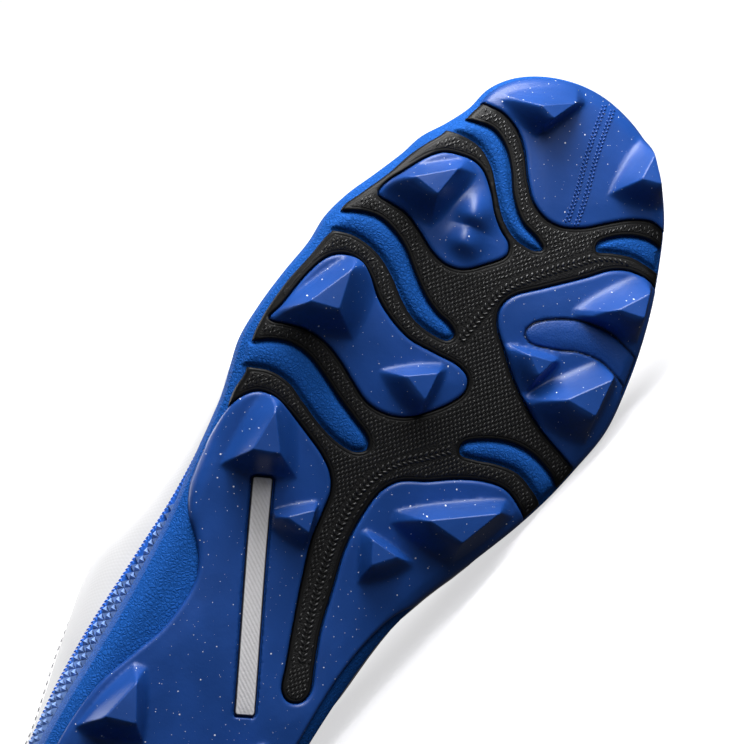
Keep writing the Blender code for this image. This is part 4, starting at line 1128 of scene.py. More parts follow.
def scatter(name, shape, spots, along, normal, size, material, stretch=None):
    """One piece made of many small shapes; spots, along and normal are in the shoe's own frame."""
    spots = np.asarray(spots, float)
    normal = np.asarray(normal, float) @ TURNED.T
    along = np.asarray(along, float) @ TURNED.T
    along -= normal * np.sum(along * normal, axis=1)[:, None]
    turns = []
    for a, n in zip(along, normal):
        z = Vector(n).normalized()
        x = Vector(a).normalized()
        turns.append(tuple(Matrix((x, z.cross(x), z)).transposed().to_euler()))
    mesh = bpy.data.meshes.new(name + "_spots")
    mesh.from_pydata(lay(spots).tolist(), [], [])
    note(mesh, "turn", np.array(turns))
    note(mesh, "stretch", np.ones((len(spots), 3)) if stretch is None else stretch)
    holder = bpy.data.objects.new(name + "_spots", mesh)
    bpy.context.scene.collection.objects.link(holder)
    modifier = holder.modifiers.new("set", "NODES")
    tree = scatter_tree(name, shape)
    values = {"Length": size[0] * MM, "Width": size[1] * MM, "Height": size[2] * MM, "Material": material}
    sockets = {item.name: item.identifier for item in tree.interface.items_tree if item.in_out == "INPUT"}
    modifier.node_group = tree
    for label, value in values.items():
        modifier[sockets[label]] = value
    bpy.context.view_layer.update()
    seen = holder.evaluated_get(bpy.context.evaluated_depsgraph_get())
    made = bpy.data.meshes.new_from_object(seen)
    holder.modifiers.remove(modifier)
    bpy.data.objects.remove(holder)
    for extra in ("turn", "stretch"):
        if extra in made.attributes:
            made.attributes.remove(made.attributes[extra])
    obj = bpy.data.objects.new(name, made)
    bpy.context.scene.collection.objects.link(obj)
    return finish_piece(obj, ())


def under_normal(points, height):
    """Outward normals of a surface seen from below, from a height function of the plan."""
    e = 0.4
    dx = (height(points + (e, 0)) - height(points - (e, 0))) / (2 * e)
    dy = (height(points + (0, e)) - height(points - (0, e))) / (2 * e)
    return unit(np.stack([dx, dy, -np.ones(len(points))], -1))


def scatter_under(name, spots, along, level, size, material, stretch=None):
    """Small rounded bars on a face seen from below, which is given by its height over the plan."""
    points = np.column_stack([spots, level(spots)])
    ways = np.column_stack([along, np.zeros(len(along))])
    scatter(name, "bead", points, ways, under_normal(spots, level), size, material, stretch)


def rows_beside(line, offsets, slant, shift=0.0):
    """Spots in rows beside a plan line, and ways to lay bars there, slanting in turn to either side."""
    way, side = way_and_side(line)
    spots, along = [], []
    for k, off in enumerate(offsets):
        spots.append(line + side * off + way * (shift * (k % 2)))
        along.append(way + side * (slant if k % 2 else -slant))
    return np.vstack(spots), np.vstack(along)


def rib_height(p, sizes):
    """How far the foam's ribs stand below the underside."""
    rise = np.zeros(len(p))
    for loop in RIB_LOOPS:
        d = depth(p, loop)
        top = smoothstep(-0.1, 1.5, d) + 0.3 * smoothstep(0.8, 4.0, d)
        rise = np.maximum(rise, sizes.rib / MM * top)
    return rise


class CLEAT_OT_midsole(bpy.types.Operator):
    """Make the foam midsole with its ribs and rounded flanks"""

    bl_idname = "cleat.midsole"
    bl_label = "Midsole"

    def execute(self, context):
        sizes = context.scene.cleat_sole
        hidden = [grow(loop, -2.5) for loop in PLATES.values()]

        def seen(p):
            keep = depth(p, SOLE) > 0.6
            for loop in hidden:
                keep &= ~inside(p, loop)
            return keep

        loose = [fill(1.7, SOLE_BOX, seen)]
        for loop in hidden:
            loose.append(fill(9.0, SOLE_BOX, lambda p, loop=loop: depth(p, loop) > 2.0))
        for loop in RIB_LOOPS:
            for by in (0.0, -0.5, -1.0, -1.6):
                ring = ring_points(loop, by) if by else loop
                loose.append(ring[depth(ring, SOLE) > 0.8])
        for by in (0.5, 1.1, 1.9, 3.0):
            loose.append(ring_points(SOLE, -by))
        flat, tris = triangulate([SOLE], [], [], np.vstack(loose))
        low = underside(flat) - rib_height(flat, sizes)
        count = len(SOLE)
        order = [int(np.argmin(np.sum((flat - p) ** 2, axis=1))) for p in SOLE]
        verts = [(p[0], p[1], z) for p, z in zip(flat, low)]
        faces = [tuple(t[::-1]) for t in tris.tolist()]
        rings = [order]
        edge_low = underside(SOLE)
        flank = ((0.0, 0.0), (0.3, 0.5), (0.62, 0.3), (0.9, -0.5), (1.0, -1.5))
        for up in (0.06, 0.13, 0.2, 0.3, 0.4, 0.5, 0.6, 0.7, 0.8, 0.88, 0.95, 1.0):
            ring = grow(SOLE, float(pchip(flank, 1, up)))
            high = top_of_foam(ring[:, 0])
            rings.append(list(range(len(verts), len(verts) + count)))
            verts += [(p[0], p[1], a + (b - a) * up) for p, a, b in zip(ring, edge_low, high)]
        for lower, upper in zip(rings, rings[1:]):
            for i in range(count):
                j = (i + 1) % count
                faces.append((lower[i], lower[j], upper[j], upper[i]))
        last = np.array([verts[i][:2] for i in rings[-1]])
        cap, cap_tris = triangulate([last], [], [], fill(9.0, SOLE_BOX, lambda p: depth(p, last) > 4.0))
        index = []
        for p in cap:
            gap = np.sum((last - p) ** 2, axis=1)
            if gap.min() < 1e-6:
                index.append(rings[-1][int(np.argmin(gap))])
            else:
                index.append(len(verts))
                verts.append((p[0], p[1], float(top_of_foam(p[0]))))
        faces += [tuple(index[i] for i in t) for t in cap_tris.tolist()]
        add_piece("midsole_foam", np.array(verts), faces, [foam_finish(context.scene.cleat_colours)],
                  ("midsole",))
        return {"FINISHED"}


def web_loops():
    """Outlines that the web leaves free: plates with their clearance, and windows for the ribs."""
    return [grow(loop, GAP) for loop in PLATES.values()] + WINDOWS


def in_web(p, margin):
    """Plan points on the web, at least a margin away from its edges."""
    keep = depth(p, WEB_LOOP) > margin
    for loop in web_loops():
        keep[keep] = depth(p[keep], loop) < -margin
    return keep


def web_depth(p):
    """Distance from the web's nearest edge."""
    near = depth(p, WEB_LOOP)
    for loop in web_loops():
        near = np.minimum(near, -depth(p, loop))
    return near


class CLEAT_OT_web(bpy.types.Operator):
    """Make the black web with its smooth bead and woven rows of small bars"""

    bl_idname = "cleat.web"
    bl_label = "Flexible web"

    def execute(self, context):
        sizes = context.scene.cleat_sole
        colours = context.scene.cleat_colours
        thick = sizes.web / MM
        edging = sizes.edging / MM
        loose = [fill(1.5, WEB_BOX, lambda p: in_web(p, edging + 0.7))]
        for share in (0.16, 0.4, 0.7, 0.95, 1.25):
            rings = [ring_points(WEB_LOOP, -edging * share)]
            rings += [ring_points(loop, edging * share) for loop in web_loops()]
            ring = np.vstack(rings)
            loose.append(ring[in_web(ring, edging * share * 0.93)])
        flat, tris = triangulate([WEB_LOOP], web_loops(), [], np.vstack(loose))
        plain = fill(6.0, WEB_BOX, lambda p: in_web(p, 2.0))
        back, back_tris = triangulate([WEB_LOOP], web_loops(), [], plain)
        near = np.clip(web_depth(flat), 0, None)
        s = near / edging
        bead = np.where(s < 0.6, np.sqrt(np.clip(1 - ((0.6 - s) / 0.6) ** 2, 0, 1)), 1.0)
        dip = smoothstep(0.6, 0.95, s) * (1 - smoothstep(1.0, 1.4, s))
        top = thick * (0.4 + 0.6 * bead) - 0.1 * dip
        base = underside(flat)
        verts, faces = thin_solid(flat, tris, base - GAP - top, back, back_tris, underside(back) - GAP)
        # The bead's mask, which also darkens the bead as painted shade in the channel by the plates and ribs
        smooth = np.concatenate([1 - smoothstep(0.9, 1.15, s), np.ones(len(back))])
        add_piece("web_sheet", verts, faces, [web_finish(colours)], ("flex_web",), {"bead": smooth})
        self.knurls(sizes, colours, thick, edging)
        return {"FINISHED"}

    def knurls(self, sizes, colours, thick, edging):
        """Rows of small bars along the shoe, and twin lines of coarse ones down the spine."""
        long_step = 2.0
        row_step = 0.8
        gx, gy = np.meshgrid(np.arange(78, 274, long_step), np.arange(-50, 56, row_step))
        gx[1::2] += long_step / 2
        spots = np.stack([gx.ravel(), gy.ravel()], -1)
        spots = spots[in_web(spots, edging + 0.45)]
        twins = []
        for points, rows, step in WEB_LINES:
            line = walk(spline(points, False), 1.7)
            gap = np.array([np.min(np.linalg.norm(line - p, axis=1)) for p in spots])
            spots = spots[gap > rows * step / 2 + 0.9]
            twins.append(rows_beside(line, (np.arange(rows) - (rows - 1) / 2) * step, 0.75))

        def level(p):
            return underside(p) - GAP - thick

        finish = knurl_finish(colours)
        high = sizes.knurl / MM
        draw = np.random.default_rng(sizes.seed)
        wild = 0.06 + 0.22 * np.maximum(smoothstep(190, 235, spots[:, 0]), smoothstep(5, 18, -spots[:, 1]))
        along = np.column_stack([np.ones(len(spots)), draw.normal(0, 1, len(spots)) * wild])
        spots = spots + draw.uniform(-0.4, 0.4, spots.shape) * wild[:, None]
        stretch = 1 + draw.uniform(-0.7, 0.9, (len(spots), 3)) * wild[:, None]
        scatter_under("web_bars", spots, along, level, (1.8, 0.52, high * 2), finish, stretch)
        spots, along = (np.vstack(both) for both in zip(*twins))
        keep = in_web(spots, edging + 0.6)
        coarse = (2.1, 0.85, high * 3.4)
        scatter_under("web_spine_bars", spots[keep], along[keep], level, coarse, finish)


def plate_height(p, name, loop, sizes):
    """Lower face of a hard plate with its rolled rim, studs and recesses."""
    lip = sizes.lip / MM * np.ones(len(p))
    if name == "rear_plate":
        place, limit, reach, extra = WAIST_LIP
        lip = lip + extra * np.exp(-((p[:, 0] - place) / reach) ** 2) * (p[:, 1] < limit)
    d = np.clip(depth(p, loop), 0, None)
    rim = lip - np.sqrt(np.clip(lip ** 2 - np.clip(lip - d, 0, None) ** 2, 0, None))
    thick = sizes.plate / MM - rim * 0.85 + 0.25 * smoothstep(0.5, 7, d)
    rise = stud_rise(p, name, sizes.flare)
    if name == "inner_front_pod":
        deep = depth(p, POD_RIB_LOOP)
        rise = rise * (1 - smoothstep(-1.8, 0.2, deep))
        thick += 0.45 * smoothstep(0.1, 3.2, deep) - 0.2 * smoothstep(-0.3, 0.3, deep)
        thick -= 0.8 * np.exp(-(deep / 0.34) ** 2)
    thick += rise
    if name == "rear_plate":
        cut = smoothstep(0.0, 0.25, depth(p, grow(INLAY, 0.7)))
        thick = thick * (1 - cut) + (sizes.plate / MM - RECESS) * cut
    return underside(p) - GAP - thick


class CLEAT_OT_plates(bpy.types.Operator):
    """Make the five hard plates with their studs"""

    bl_idname = "cleat.plates"
    bl_label = "Hard plates"

    def execute(self, context):
        sizes = context.scene.cleat_sole
        material = plate_finish(context.scene.cleat_colours)
        for name, loop in PLATES.items():
            self.plate(name, loop, sizes, material)
        self.toe_knurls(sizes, material)
        return {"FINISHED"}

    def plate(self, name, loop, sizes, material):
        """One plate, with a fine mesh on its studs and a plain one elsewhere."""
        box = plan_box(loop)
        rows = [row for row in STUDS if row[0] == name]
        lines = []
        for row in rows:
            lines += self.creases(row, sizes.flare)
        crease = np.vstack(lines)

        def near_stud(p):
            near = np.zeros(len(p), bool)
            for row in rows:
                near |= stud_level(p, row, sizes.flare)[0] > 0.02
            if name == "outer_front_pod":
                for x, y, _, reach in NUB:
                    near |= np.hypot(p[:, 0] - x, p[:, 1] - y) < reach * 2.2
            return near

        def clear(p, spacing):
            gap = np.full(len(p), np.inf)
            for start in range(0, len(p), 2000):
                part = p[start:start + 2000]
                gap[start:start + 2000] = np.linalg.norm(part[:, None] - crease[None], axis=2).min(axis=1)
            return gap > spacing * 0.45

        def fine(p):
            keep = depth(p, loop) > 1.6
            keep[keep] = near_stud(p[keep])
            keep[keep] = clear(p[keep], 0.5)
            return keep

        def plain(p):
            keep = depth(p, loop) > 1.7
            keep[keep] = ~near_stud(p[keep])
            return keep

        loose = [fill(0.5, box, fine), fill(1.1, box, plain)]
        for by in (0.12, 0.3, 0.6, 1.0, 1.5):
            loose.append(ring_points(loop, -by))
        if name == "inner_front_pod":
            for by in (-1.4, -0.9, -0.55, -0.28, 0.0, 0.28, 0.55, 0.9):
                ring = POD_RIB_LOOP if by == 0 else ring_points(POD_RIB_LOOP, by)
                loose.append(ring[depth(ring, loop) > 1.0])
        if name == "rear_plate":
            for by in (0.45, 0.55, 0.65, 0.75):
                loose.append(grow(INLAY, by))
        held = [line[depth(line, loop) > 0.5] for line in lines]
        held = [line for line in held if len(line) > 1]
        flat, tris = triangulate([loop], [], held, np.vstack(loose))
        back, back_tris = triangulate([loop], [], [], fill(6.0, box, lambda p: depth(p, loop) > 2.5))
        verts, faces = thin_solid(flat, tris, plate_height(flat, name, loop, sizes),
                                  back, back_tris, underside(back) - PLATE_GAP)
        groove_shade = np.zeros(len(verts))
        rib = np.zeros(len(verts))
        if name == "inner_front_pod":
            deep = depth(flat, POD_RIB_LOOP)
            # Mask of the painted shade along the rib's groove
            groove_shade[:len(flat)] = np.exp(-(deep / 0.36) ** 2)
            rib[:len(flat)] = smoothstep(-0.1, 0.4, deep)
        add_piece(name + "_shell", verts, faces, [material], (name,), {"groove_shade": groove_shade, "rib": rib})

    def creases(self, row, flare):
        """Lines along the edges of a stud's top and down the ridges between its faces."""
        corners, faces = stud_faces(row)
        middle = corners.mean(axis=0)

        def meet(i, by1, by2):
            (a1, n1, _), (a2, n2, _) = faces[i - 1], faces[i]
            return np.linalg.solve(np.array([n1, n2]), np.array([n1 @ a1 + by1, n2 @ a2 + by2]))

        lines = []
        for by in (0.3, 0.0, -0.3):
            ring = np.array([meet(i, by, by) for i in range(3)])
            lines.append(walk(np.vstack([ring, ring[:1]]), 0.6))
        for i, corner in enumerate(corners):
            way = meet(i, faces[i - 1][2] * flare, faces[i][2] * flare) - corner
            side = unit(np.array([-way[1], way[0]]))
            for off in (-0.3, 0.0, 0.3):
                lines.append(walk(np.array([corner + way * 0.06, corner + way * 0.9]) + side * off, 0.6))
        return [line for line in lines if np.all(np.isfinite(line)) and np.ptp(line - middle) < 90]

    def toe_knurls(self, sizes, material):
        """Band of small bumps across the toe plate."""
        spots, along = rows_beside(walk(spline(TOE_LINE, False), 1.25), (-2.1, -1.15, 0.9, 1.85), 0.7, 0.6)

        def level(p):
            return plate_height(p, "toe_plate", PLATES["toe_plate"], sizes)

        scatter_under("toe_plate_knurls", spots, along, level, (1.15, 0.75, 0.62), material)


class CLEAT_OT_inlay(bpy.types.Operator):
    """Make the pale straight inlay in the arch"""

    bl_idname = "cleat.inlay"
    bl_label = "Arch inlay"

    def execute(self, context):
        sizes = context.scene.cleat_sole
        box = plan_box(INLAY)
        loose = [fill(1.0, box, lambda p: depth(p, INLAY) > 1.0)]
        for by in (0.15, 0.35, 0.6, 0.8):
            loose.append(ring_points(INLAY, -by))
        flat, tris = triangulate([INLAY], [], [], np.vstack(loose))
        back, back_tris = triangulate([INLAY], [], [], fill(4.0, box, lambda p: depth(p, INLAY) > 1.0))
        d = np.clip(depth(flat, INLAY), 0, None)
        seat = sizes.plate / MM - RECESS
        top = INLAY_THICK - 0.3 * (1 - smoothstep(0, 0.5, d)) + 0.12 * smoothstep(0.5, 3, d)
        verts, faces = thin_solid(flat, tris, underside(flat) - 2 * GAP - seat - top,
                                  back, back_tris, underside(back) - 2 * GAP - seat)
        border = np.concatenate([1 - smoothstep(0.35, 0.55, d), np.ones(len(back))])
        add_piece("arch_inlay_bar", verts, faces, [inlay_finish(context.scene.cleat_colours)],
                  ("arch_inlay",), {"border": border})
        return {"FINISHED"}


def upper_foot():
    """Foot of the upper's rows in plan, from the heel by the outer side and back by the inner."""
    return [(r[0], r[1]) for r in UPPER] + [(r[0], r[2]) for r in UPPER[-2:0:-1]]


def upper_ribs():
    """Handles of every rib round the upper, in the order of its foot."""
    foot = upper_foot()
    n = len(foot)
    way = -outward(np.array(foot))
    if np.dot(way[0], (-1, 0)) < 0:
        way = -way
    rows = []
    for i in range(n):
        k = i if i < len(UPPER) else n - i
        r = UPPER[k]
        outer = i < len(UPPER)
        p0 = np.array([foot[i][0], foot[i][1], float(top_of_foam(foot[i][0])) + GAP])
        p3 = np.array([r[3], r[4] if outer else r[5], r[6]])
        lean = r[7] if outer else r[8]
        out = np.array([way[i][0], way[i][1], 0])
        up = np.array([0, 0, 1.0])
        rows.append(np.array([p0, p0 + out * lean + up * r[9], p3 + out * r[10] - up * r[11], p3]))
    rows = np.array(rows)
    ribs = []
    for i in range(n):
        a, b, c, d = rows[i - 1], rows[i], rows[(i + 1) % n], rows[(i + 2) % n]
        for s in np.arange(PER_ROW) / PER_ROW:
            ribs.append(0.5 * (2 * b + (c - a) * s + (2 * a - 5 * b + 4 * c - d) * s ** 2
                               + (3 * b - 3 * c + d - a) * s ** 3))
    ribs = np.array(ribs)
    total = n * PER_ROW
    for i in range(RIDGE_ROW * PER_ROW, (len(UPPER) - 1) * PER_ROW):
        middle = (ribs[i][3] + ribs[total - i][3]) / 2
        ribs[i][3] = middle
        ribs[total - i][3] = middle
    ribs[:, 0, 2] = top_of_foam(ribs[:, 0, 0]) + GAP
    return ribs


def on_ribs(ribs, t):
    """Points on every rib at the given heights."""
    t = np.asarray(t, float)[None, :, None]
    a, b, c, d = (ribs[:, None, k] for k in range(4))
    return (1 - t) ** 3 * a + 3 * t * (1 - t) ** 2 * b + 3 * t * t * (1 - t) * c + t ** 3 * d


class Wall:
    """The upper's outer face: points and normals on a grid of ribs and steps."""

    def __init__(self):
        ribs = upper_ribs()
        self.count = len(ribs)
        self.points = on_ribs(ribs, np.linspace(0, 1, STEPS + 1))
        around = np.roll(self.points, -1, axis=0) - np.roll(self.points, 1, axis=0)
        up = np.gradient(self.points, axis=1)
        normal = unit(np.cross(up, around))
        if np.sum(normal * (self.points - self.points.mean(axis=(0, 1)))) < 0:
            normal = -normal
        self.normals = normal
        steps = np.linalg.norm(np.diff(self.points, axis=1), axis=-1)
        self.run = np.concatenate([np.zeros((self.count, 1)), np.cumsum(steps, axis=1)], axis=1)

    def row(self):
        """Row number of each rib, the same on both sides."""
        i = np.arange(self.count)
        return np.minimum(i, self.count - i) / PER_ROW

    def at(self, rib, height):
        """Point and normal on a rib, given by its number and the distance up its wall."""
        rib = rib % self.count
        i = int(math.floor(rib))
        s = rib - i
        found = []
        for k in (i, (i + 1) % self.count):
            found.append([np.interp(height, self.run[k], g[k, :, c]) for g in (self.points, self.normals)
                          for c in range(3)])
        mixed = np.array(found[0]) * (1 - s) + np.array(found[1]) * s
        return mixed[:3], unit(mixed[3:])


class CLEAT_OT_band(bpy.types.Operator):
    """Make the blue edge band with its small facets and woven edge"""

    bl_idname = "cleat.band"
    bl_label = "Edge band"

    def execute(self, context):
        colours = context.scene.cleat_colours
        wall = Wall()
        ribs = np.arange(BAND_OUTER_END * PER_ROW, -BAND_INNER_END * PER_ROW + 0.01, -0.4)
        rows = np.abs(ribs) / PER_ROW
        heights = np.where(ribs >= 0, pchip(BAND_HEIGHT, 1, rows), pchip(BAND_HEIGHT, 2, rows))
        levels = np.linspace(0, 1, 9)
        grid = [[wall.at(rib, BAND_START + (high - BAND_START) * s) for s in levels]
                for rib, high in zip(ribs, heights)]
        lifts = [GAP + BAND_FACE - self.rounding(s) for s in levels]
        verts = [p + n * lift for line in grid for (p, n), lift in zip(line, lifts)]
        n_out = len(verts)
        verts += [p + n * (GAP + BAND_BACK) for line in grid for p, n in line]
        m = len(levels)
        faces = []
        for i in range(len(ribs) - 1):
            for k in range(m - 1):
                a = i * m + k
                faces.append((a, a + 1, a + m + 1, a + m))
                b = a + n_out
                faces.append((b, b + m, b + m + 1, b + 1))
            for k in (0, m - 1):
                a = i * m + k
                quad = (a, a + m, a + m + n_out, a + n_out)
                faces.append(quad if k == 0 else quad[::-1])
        for i in (0, len(ribs) - 1):
            for k in range(m - 1):
                a = i * m + k
                quad = (a, a + n_out, a + n_out + 1, a + 1)
                faces.append(quad if i == 0 else quad[::-1])
        strip = band_finish(colours, "band", 0.0)
        add_piece("edge_band_strip", np.array(verts), faces, [strip], ("edge_band",))
        self.facets(wall, ribs, heights, colours)
        return {"FINISHED"}

    def rounding(self, s):
        """How far the strip's outer face falls back at a share of its height, more at its lower edge."""
        past = max(0.0, abs(2 * s - 1) - 0.7) / 0.3
        edge = 0.5 * (1 - math.sqrt(max(0.0, 1 - past ** 2)))
        return max(edge, 0.75 * (1 - float(smoothstep(0.0, 0.3, s))))

    def facets(self, wall, ribs, heights, colours):
        """Low three-sided facets in rows along the band, and slanting stitches along its upper edge."""
        run = run_along(np.array([wall.at(rib, 3.0)[0] for rib in ribs]))
        tall = FACET_SIDE * 0.866
        spots, along, normal = [], [], []
        for row in range(3):
            for k, s in enumerate(np.arange(1.0, run[-1] - 1.0, FACET_SIDE / 2)):
                up = k % 2 == row % 2
                rib = np.interp(s, run, ribs)
                level = 0.7 + tall * (row + (0.34 if up else 0.66))
                if level + 0.8 > np.interp(s, run, heights) - 1.4:
                    continue
                p, n = wall.at(rib, level)
                q, _ = wall.at(rib, level + 0.5)
                spots.append(p + n * (GAP + BAND_FACE))
                along.append((q - p) * (1 if up else -1))
                normal.append(n)
        size = FACET_SIDE / 1.732 * 0.98
        # The facets use a paler copy of the band's blue: painted highlight of their lit faces
        facets = scatter("edge_band_facets", "facet", spots, along, normal, (size, size, FACET_RISE),
                         band_finish(colours, "band_facet", 0.3))
        facets.data.polygons.foreach_set("use_smooth", [False] * len(facets.data.polygons))
        spots, along, normal = [], [], []
        for offset, slant in ((1.15, 0.6), (0.35, -0.6)):
            for s in np.arange(0.6, run[-1] - 0.4, 1.25):
                rib = np.interp(s, run, ribs)
                level = np.interp(s, run, heights) - offset
                p, n = wall.at(rib, max(0.8, level))
                q, _ = wall.at(rib + 0.1, max(0.8, level))
                up, _ = wall.at(rib, level + 0.4)
                spots.append(p + n * (GAP + 0.98))
                along.append(unit(q - p) + slant * (up - p) / max(np.linalg.norm(up - p), 1e-6))
                normal.append(n)
        thread = thread_finish("band_thread", shade(colours.band, 1.7))
        scatter("edge_band_stitches", "bead", spots, along, normal, (1.35, 0.5, 0.5), thread)


class CLEAT_OT_upper(bpy.types.Operator):
    """Make the hollow upper with its padded collar, flaps, creases and lining"""

    bl_idname = "cleat.upper"
    bl_label = "Upper"

    def execute(self, context):
        sizes = context.scene.cleat_upper
        colours = context.scene.cleat_colours
        wall = Wall()
        out, thick = self.relief(wall, sizes)
        used, number, quads = self.weld(wall)
        points = (wall.points + wall.normals * out[..., None]).reshape(-1, 3)[used]
        wide = thick.reshape(-1)[used]
        normal = np.zeros_like(points)
        for q in quads:
            a, b, c = points[q[0]], points[q[1]], points[q[2]]
            face = np.cross(b - a, c - a)
            for v in q:
                normal[v] += face
        normal = unit(normal)
        if np.sum(normal * wall.normals.reshape(-1, 3)[used]) < 0:
            quads = [q[::-1] for q in quads]
            normal = -normal
        inner = points - normal * wide[:, None]
        inner[:, 2] = np.maximum(inner[:, 2], top_of_foam(inner[:, 0]) + GAP)
        count = len(points)
        top = set(number[:, -1].tolist())
        rim = rim_edges(quads)
        edge = sorted({v for pair in rim for v in pair})
        bend = {v: [v] for v in edge}
        bent = []
        for share in (1 / 3, 2 / 3):
            for v in edge:
                bend[v].append(2 * count + len(bent))
                lift = 0.32 * wide[v] * math.sin(math.pi * share) if v in top else 0.0
                bent.append(points[v] + (inner[v] - points[v]) * share + (0, 0, lift))
        faces = quads + [tuple(v + count for v in q[::-1]) for q in quads]
        kinds = [0] * len(quads) + [1] * len(quads)
        for a, b in rim:
            chain_a = bend[a] + [a + count]
            chain_b = bend[b] + [b + count]
            for k in range(3):
                faces.append((chain_b[k], chain_a[k], chain_a[k + 1], chain_b[k + 1]))
                kinds.append(0 if k < 2 else 1)
        add_piece("upper_shell", np.vstack([points, inner, bent]), faces,
                  [textile_finish(colours, "textile"), lining_finish(colours, "lining")],
                  ("upper",), face_materials=kinds)
        self.stitches(wall, sizes, colours)
        return {"FINISHED"}

    def relief(self, wall, sizes):
        """How far the outer face stands out of the plain wall, and how thick the wall is there."""
        from_top = wall.run[:, -1:] - wall.run
        row = wall.row()[:, None] * np.ones((1, STEPS + 1))
        collar = 1 - smoothstep(4.6, 6.2, row)
        out = 1.1 * collar * np.exp(-((from_top - 7) / 5.5) ** 2)
        flap = smoothstep(5.6, 6.1, row) * (1 - smoothstep(9.9, 10.4, row))
        flap = flap * (1 - smoothstep(14.5, 15.3, from_top))
        out = out + sizes.overlay / MM * flap
        x, y, z = (wall.points[..., k] for k in range(3))
        for place, wide, deep, slant in TOE_CREASES:
            trough = np.exp(-((x + slant * y - place) / wide) ** 2)
            out = out - deep * trough * smoothstep(14, 26, wall.run) * (1 - flap)
        for place, wide, deep in WAIST_CREASES:
            trough = np.exp(-((x - place + 0.5 * z - 22) / wide) ** 2)
            out = out - deep * trough * smoothstep(10, 22, wall.run) * (1 - smoothstep(30, 46, wall.run))
        return out, WALL + sizes.padding / MM * collar * np.exp(-((from_top - 6) / 6.5) ** 2)

    def weld(self, wall):
        """Grid points in use, their numbers and the outer faces, joined along the ridge over the toe."""
        n = wall.count
        m = STEPS + 1
        number = np.arange(n * m).reshape(n, m)
        for i in range(RIDGE_ROW * PER_ROW, (len(UPPER) - 1) * PER_ROW):
            number[n - i, -1] = number[i, -1]
        used, renumbered = np.unique(number, return_inverse=True)
        number = renumbered.reshape(n, m)
        quads = []
        for i in range(n):
            j = (i + 1) % n
            for k in range(m - 1):
                quad = (number[i, k], number[j, k], number[j, k + 1], number[i, k + 1])
                quads.append(tuple(dict.fromkeys(int(v) for v in quad)))
        return used, number, [q for q in quads if len(q) > 2]

    def stitches(self, wall, sizes, colours):
        """Two seams along each flap and one round the collar."""
        step = sizes.stitch / MM
        spots, along, normal = [], [], []

        def seam(ribs, depths):
            line = [wall.at(r, float(np.interp(r % wall.count, np.arange(wall.count), wall.run[:, -1])) - d)
                    for r, d in zip(ribs, depths)]
            place = np.array([p for p, _ in line])
            face = np.array([n for _, n in line])
            run = run_along(place)
            at = np.arange(step / 2, run[-1], step)
            p = read_along(at, run, place)
            f = read_along(at, run, face)
            spots.append(p + f * (sizes.overlay / MM + 0.08))
            along.append(read_along(at + 0.2, run, place) - p + 1e-6)
            normal.append(f)

        flap = np.arange(5.9 * PER_ROW, 9.9 * PER_ROW, 0.25)
        for way in (1, -1):
            for off in (2.2, 13.2):
                seam(way * flap, np.full(len(flap), off))
        collar = np.arange(-5.6 * PER_ROW, 5.6 * PER_ROW, 0.25)
        seam(collar, np.full(len(collar), 15.5))
        thread = thread_finish("thread", shade(colours.textile, 0.86))
        scatter("upper_stitches", "bead", np.vstack(spots), np.vstack(along), np.vstack(normal),
                (step * 0.72, 0.55, 0.5), thread)


def throat(x, y):
    """Height and slope of the throat's edge at x, the arch over it at y, and how far y lies past the edge."""
    mid, half, z, slope = (pchip(TONGUE, k, x) for k in (1, 2, 3, 4))
    v = np.abs(y - mid)
    arch = slope * half / 2 * (1 - np.minimum(1, (v / half) ** 2))
    return z, slope, arch, np.maximum(0, v - half)


def tongue_top(x, y):
    """Upper face of the tongue: arched in the throat, tucked under the flaps beside it."""
    z, slope, arch, past = throat(x, y)
    return z - WALL * np.sqrt(1 + slope ** 2) - 0.9 + arch - slope * past - 0.035 * past ** 2


def lace_low(x, y):
    """Under side of the lace: an even arch from flap to flap."""
    z, slope, arch, past = throat(x, y)
    return z + 0.6 + arch - slope * past - 0.01 * past ** 2


def blunt(value, power):
    """A share of -1 to 1 pushed out towards its ends."""
    return math.copysign(abs(value) ** power, value)


class CLEAT_OT_tongue(bpy.types.Operator):
    """Make the padded tongue"""

    bl_idname = "cleat.tongue"
    bl_label = "Tongue"

    def execute(self, context):
        colours = context.scene.cleat_colours
        xs = np.linspace(TONGUE[0][0], TONGUE[-1][0], 78)
        turn = np.linspace(0, 2 * math.pi, 64, endpoint=False)
        verts = []
        for i, x in enumerate(xs):
            half = float(pchip(TONGUE, 5, x)) * (1 - 0.16 * (1 - smoothstep(82, 90, x)))
            mid = float(pchip(TONGUE, 1, x))
            ends = min(1.0, math.sqrt(max(0.02, min(1.0, (i + 0.15) / 2.2))))
            for a in turn:
                s = blunt(math.cos(a), 0.8)
                rise = blunt(math.sin(a), 0.6)
                y = mid + s * half
                quilt = 0.0
                if rise > 0:
                    quilt = -0.45 * math.exp(-((abs(s) - 0.62) / 0.05) ** 2) * float(smoothstep(88, 96, x))
                top = float(tongue_top(x, y))
                z = top - TONGUE_THICK / 2 + (TONGUE_THICK / 2 * rise + quilt) * ends
                verts.append((x, y, z))
        faces = tube_faces(len(xs), len(turn))
        cloth = textile_finish(colours, "tongue_textile", 0.97)
        piece = add_piece("tongue_pad", np.array(verts), faces, [cloth], ("tongue",))
        return {"FINISHED"}


